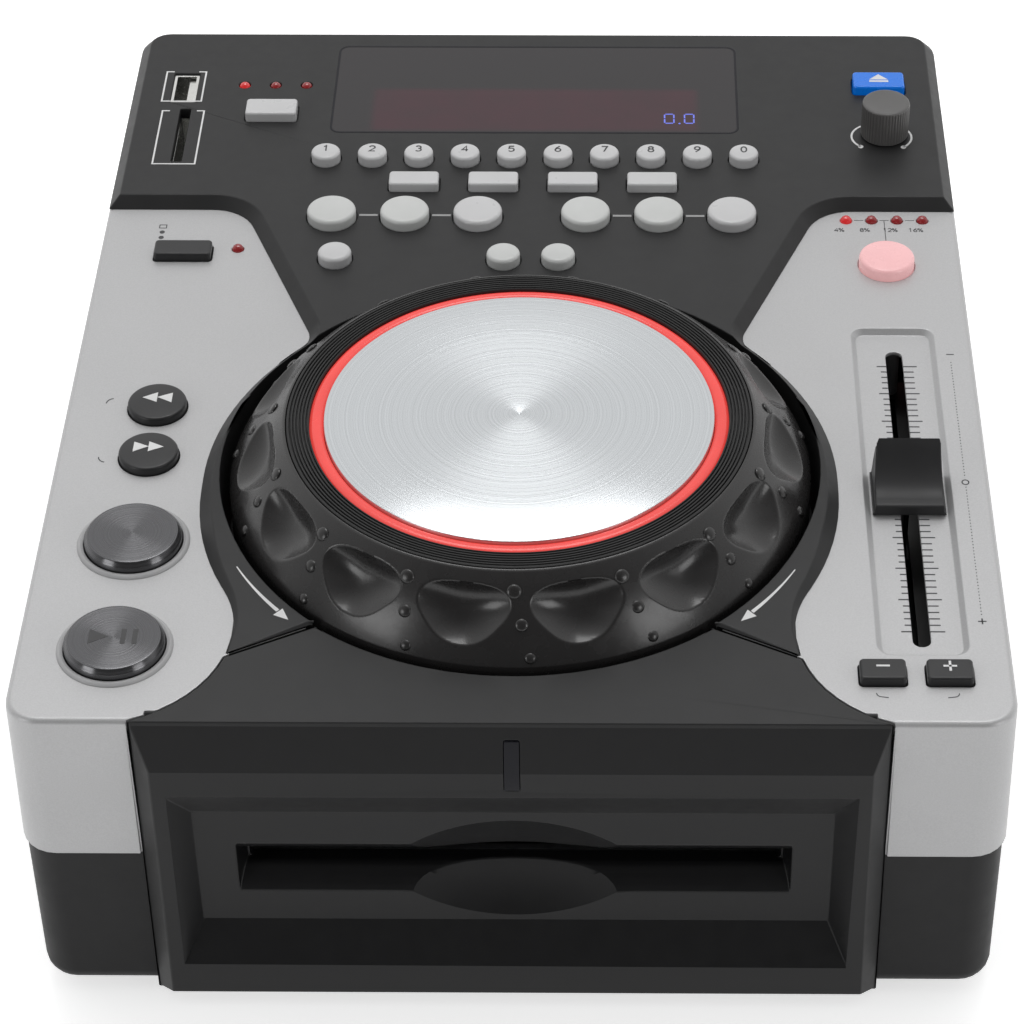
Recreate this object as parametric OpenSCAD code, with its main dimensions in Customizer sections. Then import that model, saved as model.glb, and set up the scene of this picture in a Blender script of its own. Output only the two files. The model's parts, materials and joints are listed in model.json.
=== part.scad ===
// Tabletop player for compact discs, with a jog wheel, a pitch fader and a front disc slot.
// X is to the right, Y to the back, Z up. The origin is under the middle of the machine.

/* [Case] */
// Width of the silver cover at its top edge
body_w = 222; // [220:0.5:230]
// Depth of the case, front wall to rear wall
body_d = 277; // [276:0.5:290]
// Radius of the case's upright corners
corner_r = 8; // [7:0.5:10]
// Wall of the mouldings
wall = 2.5; // [2.2:0.1:2.8]
// Height of the rubber feet
foot_h = 2.6; // [2.2:0.2:6]
// Radius of the rubber feet
foot_r = 8; // [6:0.5:10]
// Distance of each foot's centre from the sides of the case
foot_inset = 20; // [16:1:30]
// Height of the black tray
tray_h = 44.9; // [42.9:0.5:46.9]
// Radius of the tray's lower edge
tray_edge_r = 5; // [2:0.5:6]
// Height of the silver cover
cover_h = 40.8; // [40:0.2:46]
// How far the cover's lower edge stands out past its top edge
cover_flare = 0.6; // [0:0.1:1]
// Radius of the cover's top edge
cover_edge_r = 1.4; // [0.6:0.2:2]

/* [Control panel] */
// Height of the black control panel above the silver cover
panel_t = 3; // [2.8:0.1:4]
// Width of the panel's sloping edge
panel_bevel = 3; // [1:0.2:3.4]
// Distance from the case front to the panel's straight front edge
panel_front_y = 192.5; // [190:0.5:194]
// Half width of the panel where it meets the straight front edge
panel_shoulder_x = 75.5; // [72:0.5:80]
// Radius of the panel's shoulder
shoulder_r = 12; // [6:1:16]
// Radius of the panel's waist behind the jog wheel
waist_r = 7; // [4:0.5:9]
// Radius of the panel's edge round the jog wheel
ring_r = 75.2; // [75:0.1:76.5]
// Half width of the black face in front of the jog wheel
neck_x = 63.1; // [62:0.1:65]
// Radius of the neck, from the jog wheel's edge to the bezel's corner
neck_r = 30; // [26:1:34]
// Gap between the panel and the apron in front of it
seam_gap = 0.6; // [0.4:0.1:1.5]
// Width of the ledge that carries the panel
ledge = 4; // [3:0.5:5]
// Distance from the case front to where the panel's wings begin to slope down
wing_hinge_y = 62; // [58:0.5:66]

/* [Display] */
// Width of the display window
window_w = 109.6; // [100:0.4:112]
// Depth of the display window
window_d = 42.5; // [38:0.5:43]
// Distance from the case front to the window's centre
window_y = 246.25; // [246:0.25:248]
// Thickness of the window
window_t = 2; // [1.5:0.1:2.2]

/* [Jog wheel] */
// Distance from the case front to the jog wheel's axis
jog_y = 86; // [85:0.2:87]
// Height of the jog wheel above the silver cover
jog_h = 17.3; // [16:0.1:20]
// Radius of the jog wheel's skirt
jog_r = 68.8; // [68:0.1:69.4]
// Gap between the skirt and the well
well_gap = 2.1; // [1:0.1:2.2]
// Depth of the well below the silver cover
well_depth = 20; // [18:0.5:22]
// Radius of the spun disc on top
disc_plate_r = 45.7; // [44:0.1:46]
// Thickness of the spun disc
disc_plate_t = 1.5; // [1:0.1:2]
// Width of the lit ring
light_ring_w = 3.2; // [2.4:0.1:3.6]
// Width of the ribbed rubber ring
grip_ring_w = 5.2; // [4:0.1:5.6]
// Number of finger dimples
dimple_count = 15; // [12:1:16]
// Radius of the steel axle
axle_r = 4; // [3:0.5:5]

/* [Buttons] */
// Travel of the buttons
travel = 1; // [0.6:0.1:1.2]
// Gap round each button
button_gap = 0.25; // [0.15:0.05:0.3]
// Radius of the number buttons
number_r = 3.85; // [3.4:0.05:4.2]
// Spacing of the number buttons
number_pitch = 12.35; // [11.8:0.05:12.6]
// Radius of the loop buttons
loop_r = 6.35; // [5.8:0.05:6.8]
// Spacing of the loop buttons
loop_pitch = 19; // [18:0.1:19.6]
// Radius of the start and cue buttons
start_r = 11.3; // [10:0.1:11.8]
// Spacing of the start and cue buttons
start_pitch = 35.7; // [34:0.1:36]
// Radius of the two search buttons
search_r = 7.1; // [6:0.1:7.8]
// Spacing of the two search buttons
search_pitch = 18.9; // [18.4:0.1:20]

/* [Pitch fader] */
// Travel of the fader each way from its middle
fader_travel = 50; // [40:1:50]
// Width of the fader's cap at its foot
cap_w = 16.5; // [12:0.1:18]
// Length of the fader's cap
cap_d = 15.5; // [12:0.1:20]
// Height of the fader's cap at its back
cap_h = 9.6; // [7:0.2:12]
// Width of the slot that the lever runs in
fader_slot_w = 4.1; // [3:0.1:4.4]

/* [Track knob] */
// Radius of the track knob
knob_r = 6.4; // [5:0.1:7]
// Height of the track knob
knob_h = 10; // [8:0.5:14]

/* [Front bezel] */
// How far the bezel stands out of the case
bezel_out = 4; // [3:0.2:6]
// Half width of the bezel at its foot
bezel_half_w = 83.9; // [83.4:0.1:85]
// Height of the disc slot's middle above the table
slot_z = 41.4; // [41:0.1:42]
// Width of the disc slot
slot_w = 121.6; // [121.2:0.2:123]
// Height of the disc slot
slot_h = 5; // [4.8:0.1:5.4]

/* [Sockets] */
// How far the audio sockets stand out of the rear wall
audio_out = 8; // [6:0.5:10]
// Radius of an audio socket's sleeve
audio_r = 4.15; // [4:0.05:4.3]
// Length of the USB opening
usb_l = 12.3; // [12.1:0.1:12.8]
// Length of the card slot
card_l = 25.2; // [24.4:0.2:26]

/* [Hidden] */
$fn = 64;
EPS = 0.01;

// gaps between pieces
fit_gap = 0.3;
run_gap = 0.05;
seat_gap = 0.1;
pipe_proud = 0.15;

// heights
z_tray = foot_h;
z_part = z_tray + tray_h;
z_top = z_part + cover_h;
z_panel = z_top + panel_t;
z_under = z_top - wall;
board_t = 1.6;
z_board = z_top - 12;
switch_w = 6;
switch_h = 5;
z_switch = z_board + switch_h;
z_stem = z_switch + travel + 0.2;
z_jog = z_top + jog_h;
z_well = z_top - well_depth;

// places
y_shift = -(body_d + audio_out - bezel_out - pipe_proud) / 2;
half_w = body_w / 2;
well_r = jog_r + well_gap;
cup_t = 1.4;
cup_r = well_r + cup_t;

// controls on the panel
number_y = 212.2;
function_y = 200.3;
function_w = 13.1;
function_d = 6.1;
function_pitch = 20.9;
loop_y = 185.6;
loop_group_x = 33;
pair_y = 166.7;
pair_pitch = 14;
small_r = 4.3;
tap_pos = [-49.6, 167];
source_pos = [-(window_w / 2 + half_w - 23) / 2, body_d - 43.1];
source_size = [13.8, 7.5];
eject_pos = [half_w - 17.1, body_d - 29];
eject_size = [14, 7.8];
knob_pos = [half_w - 16.8, body_d - 52.4];
usb_pos = [-(half_w - 14.7), body_d - 30.4];
card_pos = [-(half_w - 16), body_d - 53.6];
card_slot_w = 2.9;
usb_slot_w = 5.2;
shell_t = 0.8;
status_led_pitch = 8.5;
status_led_y = body_d - 29;
status_led_x = source_pos.x - status_led_pitch - 0.1;

// controls on the silver cover
side_x = half_w - 22.2;
mode_pos = [-(half_w - 21.7), 173.2];
mode_size = [14.7, 6.6];
mode_led_pos = [-(half_w - 35.6), 175.3];
cue_y = 59.35;
search_y = 109.5;
pitch_pos = [half_w - 19.3, 169.3];
pitch_r = 7.1;
pitch_led_y = 188.8;
pitch_led_x = half_w - 28.7;
pitch_led_pitch = 6.63;
bend_y = 15.6;
bend_size = [10.3, 6.8];
bend_x = [half_w - 29.2, half_w - 14.4];
fader_x = half_w - 19.6;
fader_y = 80.4;
lever_t = 1.2;
lever_d = 6;
fader_slot_l = 2 * fader_travel + lever_d + 2;
fader_recess = [20.8, fader_slot_l + 12, 1.4];
fader_recess_lift = 1.9;
fader_recess_slope = 1.3;
cap_lead = 1.4;
led_r = 1.5;
led_h = 1.1;
ring_out = 1.8;
ring_h = 0.8;

// bezel
bezel_top_half_w = bezel_half_w - 0.6;
bezel_z0 = z_tray + 0.2;
bezel_side_bevel = 3.9;
bezel_top_bevel = 11.7;
bezel_foot_bevel = 1.9;
plug_half_w = bezel_top_half_w - 3.6;
plug_z0 = z_tray + 10.4;
plate_t = 2.3;
recess_depth = 5.2;
recess_half_w = 76.2;
recess_half_h = 26.8;
recess_slope_w = 4.4;
recess_slope_h = 9.3;
recess_y = recess_depth - bezel_out;
channel_over = [4, 10.4];
channel_depth = 6;
channel_steps = 6;
tunnel_end = recess_y + channel_depth + 2.3;
scoop_half_h = 15.4;
scoop_r = 80;
scoop_circle_r = 39.3;
pipe_w = 3.4;

// jog wheel
rim_r = disc_plate_r + light_ring_w + grip_ring_w + 0.5;
deck_z = z_jog - disc_plate_t;
groove_z = z_jog - 4;
skirt_z0 = z_top - 10;
skirt_t = 6;
skirt_bulge = 1.2;
skirt_top = [rim_r + 0.9, z_jog - 0.6];
skirt_foot = [jog_r, z_top + 0.2];
dimple_r = 9.5;
dimple_off = 5.9;
dimple_phase = 259.75;
dot_phase = 12.1;
hub_r = 9;
axle_flange_r = 9;
axle_flange_t = 1.6;

// loader
frame_half_w = 70;
frame_y0 = tunnel_end + fit_gap;
frame_y1 = 172;
frame_z0 = z_tray + 17.4;
frame_z1 = z_tray + 56.4;
sheet_t = 1.5;
disc_r = 60;
hub_y = 92;
path_gap = 2.4;
roller_r = 4;
roller_y = frame_y0 + 14;
roller_z = slot_z - path_gap - 0.2 - roller_r;
roller_shaft_r = 1.5;
spindle_r = 1.2;
spindle_top = slot_z - path_gap - 0.4;
motor_r = 12;
motor_h = 8;
sled_y0 = hub_y + 18;
sled_size = [46, 16, 7];
sled_travel = 34;
sled_z = frame_z0 + sheet_t + 5;
rod_r = 1.5;
rod_x = 16;
rod_post = 3;
screw_r = 1.5;
screw_head_r = 2.8;
screw_head_h = 1.8;
frame_screw = [60, 30, 150];

// rear wall
rear_z = z_tray + tray_h / 2;
inlet_x = 70;
inlet_size = [27.5, 20];
inlet_flange = 2;
inlet_mouth = [24.6, 16.8];
inlet_depth = 14;
inlet_pin_l = 8;
rocker_x = 32;
rocker_size = [16, 9.6];
rocker_frame = 2;
audio_x0 = -84;
audio_pitch = 18;
audio_count = 4;
remote_x = -2;
remote_r = 3.2;
inlet_body = 22;
rocker_body = 16;
jack_body = [12, 10];

// case screws
boss_r = 3.2;
boss_inset = 7;
screw_xy = [for (sx = [-1, 1], y = [boss_inset, body_d - boss_inset])
    [sx * (half_w - boss_inset), y]];

// name, shape (radius, or width and depth), place, on the raised panel, height, colour
BUTTONS = concat(
    [for (i = [0:9])
        [str("number_button_", (i + 1) % 10), [number_r],
            [(i - 4.5) * number_pitch + 0.5, number_y], true, 3, "silver"]],
    [for (i = [0:3])
        [str("function_button_", i + 1), [function_w, function_d],
            [(i - 1.5) * function_pitch + 0.3, function_y], true, 2.4, "silver"]],
    [for (g = [0:1], i = [0:2])
        [str(["loop_a_", "loop_b_"][g], ["start", "end", "again"][i], "_button"), [loop_r],
            [[-1, 1][g] * loop_group_x + (i - 1) * loop_pitch + 0.3, loop_y], true, 3,
            i < 2 ? "white" : "silver"]],
    [
        ["tap_button", [small_r], tap_pos, true, 3, "silver"],
        ["reverse_button", [small_r], [0.5 - pair_pitch / 2, pair_y], true, 3, "white"],
        ["brake_button", [small_r], [0.5 + pair_pitch / 2, pair_y], true, 3, "white"],
        ["source_button", source_size, source_pos, true, 2.5, "silver"],
        ["eject_button", eject_size, eject_pos, true, 2.4, "royalblue"],
        ["jog_mode_button", mode_size, mode_pos, false, 2.2, "dimgray"],
        ["pitch_range_button", [pitch_r], pitch_pos, false, 3.4, "pink"],
        ["search_back_button", [search_r], [-side_x, search_y], false, 2.4, "dimgray"],
        ["search_forward_button", [search_r], [-side_x, search_y - search_pitch], false, 2.4,
            "dimgray"],
        ["cue_button", [start_r], [-side_x, cue_y], false, 3.2, "dimgray"],
        ["play_button", [start_r], [-side_x, cue_y - start_pitch], false, 3.2, "dimgray"],
        ["pitch_minus_button", bend_size, [bend_x[0], bend_y], false, 2.2, "dimgray"],
        ["pitch_plus_button", bend_size, [bend_x[1], bend_y], false, 2.2, "dimgray"]
    ]);

// ---- outlines ----

function arc(c, r, a0, a1, n) =
    [for (i = [0:n]) let (a = a0 + (a1 - a0) * i / n) c + r * [cos(a), sin(a)]];

function mirrored(points) = [for (i = [len(points) - 1:-1:0]) [-points[i].x, points[i].y]];

function rounded_rect(w, d, r, n = 6) = concat(
    arc([w / 2 - r, r - d / 2], r, -90, 0, n), arc([w / 2 - r, d / 2 - r], r, 0, 90, n),
    arc([r - w / 2, d / 2 - r], r, 90, 180, n), arc([r - w / 2, r - d / 2], r, 180, 270, n));

function unit(v) = v / norm(v);

// moves each edge of an anticlockwise outline inwards by the same distance
function inset(points, by) =
    let (n = len(points))
    [for (i = [0:n - 1])
        let (
            before = unit(points[i] - points[(i + n - 1) % n]),
            after = unit(points[(i + 1) % n] - points[i]),
            m = [-before.y - after.y, before.x + after.x]
        )
        points[i] + m * by * 2 / (m * m)];

// centre of the circle of radius r that touches a line and a circle from outside
function touching_centre(line_point, direction, side, centre, r_circle, r) =
    let (
        d = unit(direction),
        start = line_point + side * r * [d.y, -d.x] - centre,
        b = start * d,
        c = start * start - (r_circle + r) * (r_circle + r)
    )
    centre + start + d * (-b + sqrt(b * b - c));

jog_centre = [0, jog_y];
ring_front = [0, jog_y - 8.2];
ring_back = [0, jog_y - 3.4];
shoulder = [panel_shoulder_x, panel_front_y];
diagonal = [0.368, 0.93];
diagonal_angle = atan2(diagonal.y, diagonal.x);
waist_c = touching_centre(shoulder - diagonal * 60, diagonal, 1, ring_back, ring_r, waist_r);
waist_dir = waist_c - ring_back;
waist_angle = atan2(waist_dir.y, waist_dir.x);
neck_c = [neck_x + neck_r,
    ring_front.y - sqrt(pow(ring_r + neck_r, 2) - pow(neck_x + neck_r, 2))];
neck_dir = neck_c - ring_front;
neck_angle = atan2(neck_dir.y, neck_dir.x);
corner_turn = acos((neck_c.x - bezel_top_half_w) / neck_r);
seam_y = 21.4;
seam_turn = asin((neck_c.y - seam_y) / neck_r);
seam_front_turn = asin((neck_c.y - seam_y + seam_gap) / neck_r);
seam_angle = 152.5;
seam_l = 21.8;
// the edge runs straight over this turn, so that the corner's ledge has room
free_turn = 16;
shoulder_reach = shoulder_r * tan(diagonal_angle / 2);
shoulder_c = shoulder + [shoulder_reach, -shoulder_r];

// the black face's right edge, from the bezel's corner to the seam
apron_edge = concat([[bezel_top_half_w, 0]],
    arc(neck_c, neck_r, 180 + corner_turn, 180 + seam_front_turn, 8));
// and on from the seam to the middle of the rear edge
panel_edge = concat(
    arc(neck_c, neck_r, 180 + seam_turn, 180 + seam_turn - free_turn, 1),
    arc(neck_c, neck_r, 180 + seam_turn - 1.3 * free_turn, 180 + neck_angle, 4),
    arc(ring_front, ring_r, neck_angle + 1, 0, 8),
    arc(ring_back, ring_r, 0, waist_angle - 1, 16),
    arc(waist_c, waist_r, 180 + waist_angle, 90 + diagonal_angle, 8),
    arc(shoulder_c, shoulder_r, 90 + diagonal_angle, 90, 8),
    [[half_w, panel_front_y]],
    arc([half_w - corner_r, body_d - corner_r], corner_r, 0, 90, 6));

// where the seam meets the well
seam_end = panel_edge[0] + seam_l * [cos(seam_angle), sin(seam_angle)];
// the outline closes inside the well, which is cut out of it
panel_outline = concat(
    [[neck_x / 2, jog_y * 0.7], seam_end], panel_edge,
    mirrored(panel_edge), mirrored([[neck_x / 2, jog_y * 0.7], seam_end]));
seam_front = [seam_end - [0, seam_gap]];
apron_outline = concat(apron_edge, seam_front, mirrored(seam_front), mirrored(apron_edge));
case_outline = [for (p = rounded_rect(body_w, body_d, corner_r)) p + [0, body_d / 2]];
tray_outline = inset(case_outline, 0.1);

// ---- helpers ----

// a solid through rings of the same convex outline; profile holds each ring's height and inset
module lofted(points, profile) {
    n = len(points);
    rings = len(profile);
    polyhedron(
        points = [for (ring = profile) each [for (p = inset(points, ring[1])) [p.x, p.y, ring[0]]]],
        faces = concat(
            [[for (i = [0:n - 1]) i]],
            [for (k = [0:rings - 2], i = [0:n - 1])
                [k * n + i, (k + 1) * n + i, (k + 1) * n + (i + 1) % n, k * n + (i + 1) % n]],
            [[for (i = [n - 1:-1:0]) (rings - 1) * n + i]]));
}

// a slab with a sloping edge, whose outline may turn inwards
module bevelled(points, z0, z1, bevel) {
    n = len(points);
    foot = [for (p = points) [p.x, p.y, z0]];
    core = inset(points, bevel);
    polyhedron(
        points = concat(foot, [for (p = core) [p.x, p.y, z1]], [for (p = core) [p.x, p.y, z0]]),
        faces = [for (k = [0:2], i = [0:n - 1])
            let (next_k = (k + 1) % 3, next_i = (i + 1) % n)
            [k * n + i, next_k * n + i, next_k * n + next_i, k * n + next_i]]);
    prism(core, z0, z1);
}

// heights and insets of a quarter-round edge under or over a prism
function lower_round(z, r, n = 5) =
    [for (i = [0:n]) let (a = i * 90 / n) [z + r * (1 - cos(a)), r * (1 - sin(a))]];
function upper_round(z, r, n = 4) =
    [for (i = [0:n]) let (a = i * 90 / n) [z - r * (1 - sin(a)), r * (1 - cos(a))]];

module prism(points, z0, z1) {
    translate([0, 0, z0]) linear_extrude(z1 - z0) polygon(points);
}

// a box from its lowest corner to its highest
module block(low, high) {
    translate(low) cube(high - low);
}

// an outline drawn as width by height, standing up and reaching back along Y
module upright(y0, y1) {
    translate([0, y1, 0]) rotate([90, 0, 0]) linear_extrude(y1 - y0) children();
}

module tube(r_out, r_in, z0, z1) {
    translate([0, 0, z0]) difference() {
        cylinder(r = r_out, h = z1 - z0);
        translate([0, 0, -EPS]) cylinder(r = r_in, h = z1 - z0 + 2 * EPS);
    }
}

module post(xy, r, z0, z1) {
    translate([xy.x, xy.y, z0]) cylinder(r = r, h = z1 - z0);
}

// puts the case's own frame, with its front wall at Y = 0, into the machine's frame
module placed() {
    translate([0, y_shift, 0]) children();
}

// ---- buttons ----

function button_z(b) = b[3] ? z_panel : z_top;
function button_under(b) = b[3] ? z_top : z_under;
lip = 0.7;
lip_t = 1;
stem_r = 1.6;

module button_holes(raised) {
    for (b = BUTTONS) {
        if (b[3] == raised) {
            translate([b[2].x, b[2].y, button_under(b) - EPS]) {
                if (len(b[1]) == 1)
                    cylinder(r = b[1][0] + button_gap, h = panel_t + wall);
                else
                    linear_extrude(panel_t + wall)
                        polygon(rounded_rect(b[1].x + 2 * button_gap, b[1].y + 2 * button_gap, 1));
            }
        }
    }
}

module round_button(b) {
    r = b[1][0];
    top = button_z(b) + b[4];
    lip_z = button_under(b) - seat_gap;
    edge = 1;
    rotate_extrude() polygon(concat(
        [[0, z_stem], [stem_r, z_stem], [stem_r, lip_z - lip_t],
         [r + button_gap + lip, lip_z - lip_t], [r + button_gap + lip, lip_z], [r, lip_z]],
        arc([r - edge, top - edge - 0.2], edge, 0, 80, 5),
        [[0, top]]));
}

module square_button(b) {
    top = button_z(b) + b[4];
    lip_z = button_under(b) - seat_gap;
    grow = button_gap + lip;
    lofted(rounded_rect(b[1].x, b[1].y, 1), concat([[lip_z - EPS, 0]], upper_round(top, 0.7)));
    translate([-b[1].x / 2 - grow, -b[1].y / 2 - grow, lip_z - lip_t])
        cube([b[1].x + 2 * grow, b[1].y + 2 * grow, lip_t]);
    translate([0, 0, z_stem]) cylinder(r = stem_r, h = lip_z - lip_t - z_stem + EPS);
}

module button(b) {
    color(b[5]) placed() translate([b[2].x, b[2].y, 0]) {
        if (len(b[1]) == 1)
            round_button(b);
        else
            square_button(b);
    }
}

// ---- case ----

module base_tray() {
    color("#262626") placed() difference() {
        union() {
            difference() {
                lofted(tray_outline, concat(lower_round(z_tray, tray_edge_r), [[z_part, 0]]));
                prism(inset(tray_outline, wall), z_tray + wall, z_part + 1);
            }
            for (p = screw_xy) {
                post(p, boss_r, z_tray + wall - EPS, z_part);
            }
            for (sx = [-1, 1], k = [1, 2]) {
                post([sx * frame_screw[0], frame_screw[k]], 4, z_tray + wall - EPS, frame_z0);
            }
            for (sx = [-1, 1], y = [main_board_y0 + 8, main_board_y1 - 8]) {
                post([sx * (main_board_half_w - 10), y], 3, z_tray + wall - EPS, z_main_board);
            }
        }
        block([-plug_half_w - fit_gap, -1, plug_z0 - fit_gap],
            [plug_half_w + fit_gap, wall + 1, z_part + 1]);
        for (p = screw_xy) {
            post(p, screw_r + run_gap, z_tray - 1, z_part + 1);
            post(p, screw_head_r + fit_gap, z_tray - 1, z_tray + 8);
        }
        for (sx = [-1, 1], k = [1, 2]) {
            post([sx * frame_screw[0], frame_screw[k]], screw_r + run_gap, frame_z0 - 10, frame_z0 + 1);
        }
        rear_cutouts();
    }
}

module rear_cutouts() {
    y0 = body_d - wall - 1;
    y1 = body_d + 1;
    translate([inlet_x, 0, rear_z]) upright(y0, y1)
        square([inlet_size.x + 2 * fit_gap, inlet_size.y + 2 * fit_gap], center = true);
    translate([rocker_x, 0, rear_z]) upright(y0, y1)
        square([rocker_size.x + 2 * rocker_frame + 2 * fit_gap,
            rocker_size.y + 2 * rocker_frame + 2 * fit_gap], center = true);
    for (i = [0:audio_count - 1]) {
        translate([audio_x0 + i * audio_pitch, 0, rear_z]) upright(y0, y1)
            circle(r = audio_r + fit_gap);
    }
    translate([remote_x, 0, rear_z]) upright(y0, y1) circle(r = remote_r + fit_gap);
}

module top_cover() {
    color("#bdbdbd") placed() difference() {
        union() {
            difference() {
                lofted(case_outline, concat([[z_part, -cover_flare]], upper_round(z_top, cover_edge_r)));
                prism(inset(case_outline, wall), z_part - 1, z_under);
            }
            for (p = screw_xy) {
                cover_boss(p);
            }
            for (xy = left_posts) {
                post(xy, 2.5, z_board, z_under + EPS);
            }
            post([bend_x[0] - 9, bend_y], 2, z_board, z_under + EPS);
            translate([(bend_x[0] + bend_x[1]) / 2 - 0.9, bend_y - 4, z_board])
                cube([1.8, 8, z_under - z_board + EPS]);
            for (y = fader_ends) {
                post([fader_x, y], 2, fader_top, z_under + EPS);
            }
        }
        prism(inset(panel_outline, ledge), z_under - 1, z_top + 1);
        prism(inset(apron_outline, -fit_gap), z_under - 1, z_top + 1);
        post(jog_centre, cup_r + fit_gap, z_well - wall - 1, z_top + 1);
        block([-plug_half_w - fit_gap, -1, z_part - 1], [plug_half_w + fit_gap, wall + 1, z_top + 1]);
        block([-bezel_half_w - seat_gap, -cover_flare - 1, z_part - 1],
            [bezel_half_w + seat_gap, 0, z_top + 1]);
        button_holes(false);
        fader_cutout();
        led_holes(cover_leds);
        for (p = screw_xy) {
            post(p, screw_r + run_gap, z_part - 1, z_part + 12);
        }
    }
}

// a screw boss tied to the side wall beside it
module cover_boss(p) {
    post(p, boss_r, z_part, z_under + EPS);
    reach = (p.x > 0 ? 1 : -1) * (boss_inset - wall + EPS);
    translate([min(p.x, p.x + reach), p.y - 1, z_part]) cube([abs(reach), 2, z_under - z_part + EPS]);
}

module fader_cutout() {
    translate([fader_x, fader_y + fader_recess_lift, z_top])
        lofted(rounded_rect(fader_recess.x, fader_recess.y, 3.4),
            [[-fader_recess.z, fader_recess_slope], [0, 0], [1, 0]]);
    translate([fader_x, fader_y, z_under - 1])
        linear_extrude(wall + 1) polygon(rounded_rect(fader_slot_w, fader_slot_l, fader_slot_w / 2 - EPS));
}

// ---- control panel ----

module control_panel() {
    color("#434343") placed() difference() {
        union() {
            bevelled(panel_outline, z_top, z_panel, panel_bevel);
            well_cup();
            for (xy = panel_posts) {
                post(xy, 3, z_board, z_top + 1);
            }
        }
        wing_slope();
        post(jog_centre, well_r, z_well, z_panel + 1);
        post(jog_centre, axle_r + run_gap, z_well - wall - 1, z_well + 1);
        window_cutout();
        button_holes(true);
        post(knob_pos, encoder_r + fit_gap, z_top - 1, z_panel + 1);
        led_holes(panel_leds);
        translate([usb_pos.x, usb_pos.y, z_top - 1]) linear_extrude(panel_t + 2)
            square([usb_slot_w, usb_l] + 2 * (shell_t + seat_gap) * [1, 1], center = true);
        translate([card_pos.x, card_pos.y, z_top - 1])
            linear_extrude(panel_t + 2) square([card_slot_w, card_l], center = true);
    }
}

// the cup under the jog wheel stands back under the apron at the front
module well_cup() {
    difference() {
        post(jog_centre, cup_r, z_well - wall, z_top + 1);
        block([-cup_r, jog_y - cup_r - 1, z_under], [cup_r, seam_end.y, z_top + 1]);
    }
}

// the panel's two wings slope down to the seam in front of the jog wheel
module wing_slope() {
    fall = atan2(panel_t - 0.2, wing_hinge_y - seam_y);
    translate([0, wing_hinge_y, z_panel]) rotate([fall, 0, 0])
        translate([-half_w, -2 * wing_hinge_y, 0]) cube([body_w, 2 * wing_hinge_y, 2 * panel_t]);
}

module window_cutout() {
    translate([0, window_y, z_panel - window_t]) linear_extrude(window_t + 1)
        polygon(rounded_rect(window_w + 2 * seat_gap, window_d + 2 * seat_gap, 2.5));
    translate([0, window_y, z_top - 1]) linear_extrude(panel_t + 1)
        polygon(rounded_rect(window_w - 4, window_d - 4, 2));
}

module display_window() {
    color("#2b2431") placed() translate([0, window_y, z_panel - window_t])
        linear_extrude(window_t) polygon(rounded_rect(window_w, window_d, 2.5));
}

// ---- boards ----

encoder_r = 3.5;
knob_shaft_r = 3;
encoder_h = 7;
board_y0 = cup_r + jog_y + 2.5;
board_y1 = body_d - 11.5;
board_half_w = half_w - 6.5;
left_posts = [[-half_w + 7.5, cue_y - start_pitch / 2], [-half_w + 7.5, search_y - search_pitch / 2]];
panel_posts = [[-60, 176], [66, 196], [-88, 202], [76, 232], [0, 174], [-23.2, 190.8]];

module switch_under(b) {
    translate([b[2].x - switch_w / 2, b[2].y - switch_w / 2, z_board - EPS])
        cube([switch_w, switch_w, switch_h + EPS]);
}

module control_boards() {
    color("darkgreen") placed() {
        difference() {
            union() {
                block([-board_half_w, board_y0, z_board - board_t], [board_half_w, board_y1, z_board]);
                for (b = BUTTONS) {
                    if (b[2].y > board_y0 + 3) switch_under(b);
                }
                translate([0, window_y, z_board - EPS]) linear_extrude(z_panel - window_t - z_board - 2)
                    square([window_w - 14, window_d - 14], center = true);
                translate([knob_pos.x - 6, knob_pos.y - 6, z_board - EPS]) cube([12, 12, encoder_h]);
                post(knob_pos, encoder_r, z_board, z_panel - 0.5);
            }
            post(knob_pos, knob_shaft_r + run_gap, z_board + 1, z_panel + 1);
        }
        left_board();
        bend_board();
    }
}

module left_board() {
    block([-half_w + 4, boss_inset + boss_r + 0.8, z_board - board_t],
        [-cup_r - 4, search_y + 12, z_board]);
    for (b = BUTTONS) {
        if (b[2].x < 0 && b[2].y < board_y0) switch_under(b);
    }
}

module bend_board() {
    block([bend_x[0] - 12, bend_y - 5.4, z_board - board_t], [bend_x[1] + 3.5, bend_y + 4, z_board]);
    for (b = BUTTONS) {
        if (b[2].x > 0 && b[2].y < board_y0) switch_under(b);
    }
}

main_board_half_w = half_w - 21;
main_board_y1 = body_d - 29;
main_board_y0 = main_board_y1 - 68;
z_main_board = z_tray + wall + 5;
transformer = [46, 44, 34.4];
chip = [16, 16, 2];
capacitor_r = 6;
capacitor_h = 18.4;

module main_board() {
    z = z_main_board + board_t;
    color("darkgreen") placed() union() {
        block([-main_board_half_w, main_board_y0, z_main_board], [main_board_half_w, main_board_y1, z]);
        translate([main_board_half_w - transformer.x - 6, main_board_y0 + 6, z - EPS]) cube(transformer);
        for (k = [0:2]) {
            translate([-60 + 30 * k, main_board_y0 + 20, z - EPS]) cube(chip);
            post([-70 + 16 * k, main_board_y1 - 12], capacitor_r, z - EPS, z + capacitor_h);
        }
    }
}

// ---- indicators ----

panel_leds = [for (i = [0:2]) [status_led_x + i * status_led_pitch, status_led_y]];
cover_leds = concat([mode_led_pos], [for (i = [0:3]) [pitch_led_x + i * pitch_led_pitch, pitch_led_y]]);

module led_holes(places) {
    for (xy = places) {
        post(xy, led_r + seat_gap, z_under - 1, z_panel + 1);
    }
}

module led(xy, surface) {
    translate([xy.x, xy.y, 0]) rotate_extrude() polygon(concat(
        [[0, z_board], [led_r, z_board]],
        arc([0, surface + led_h - led_r], led_r, 0, 90, 6)));
}

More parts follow.
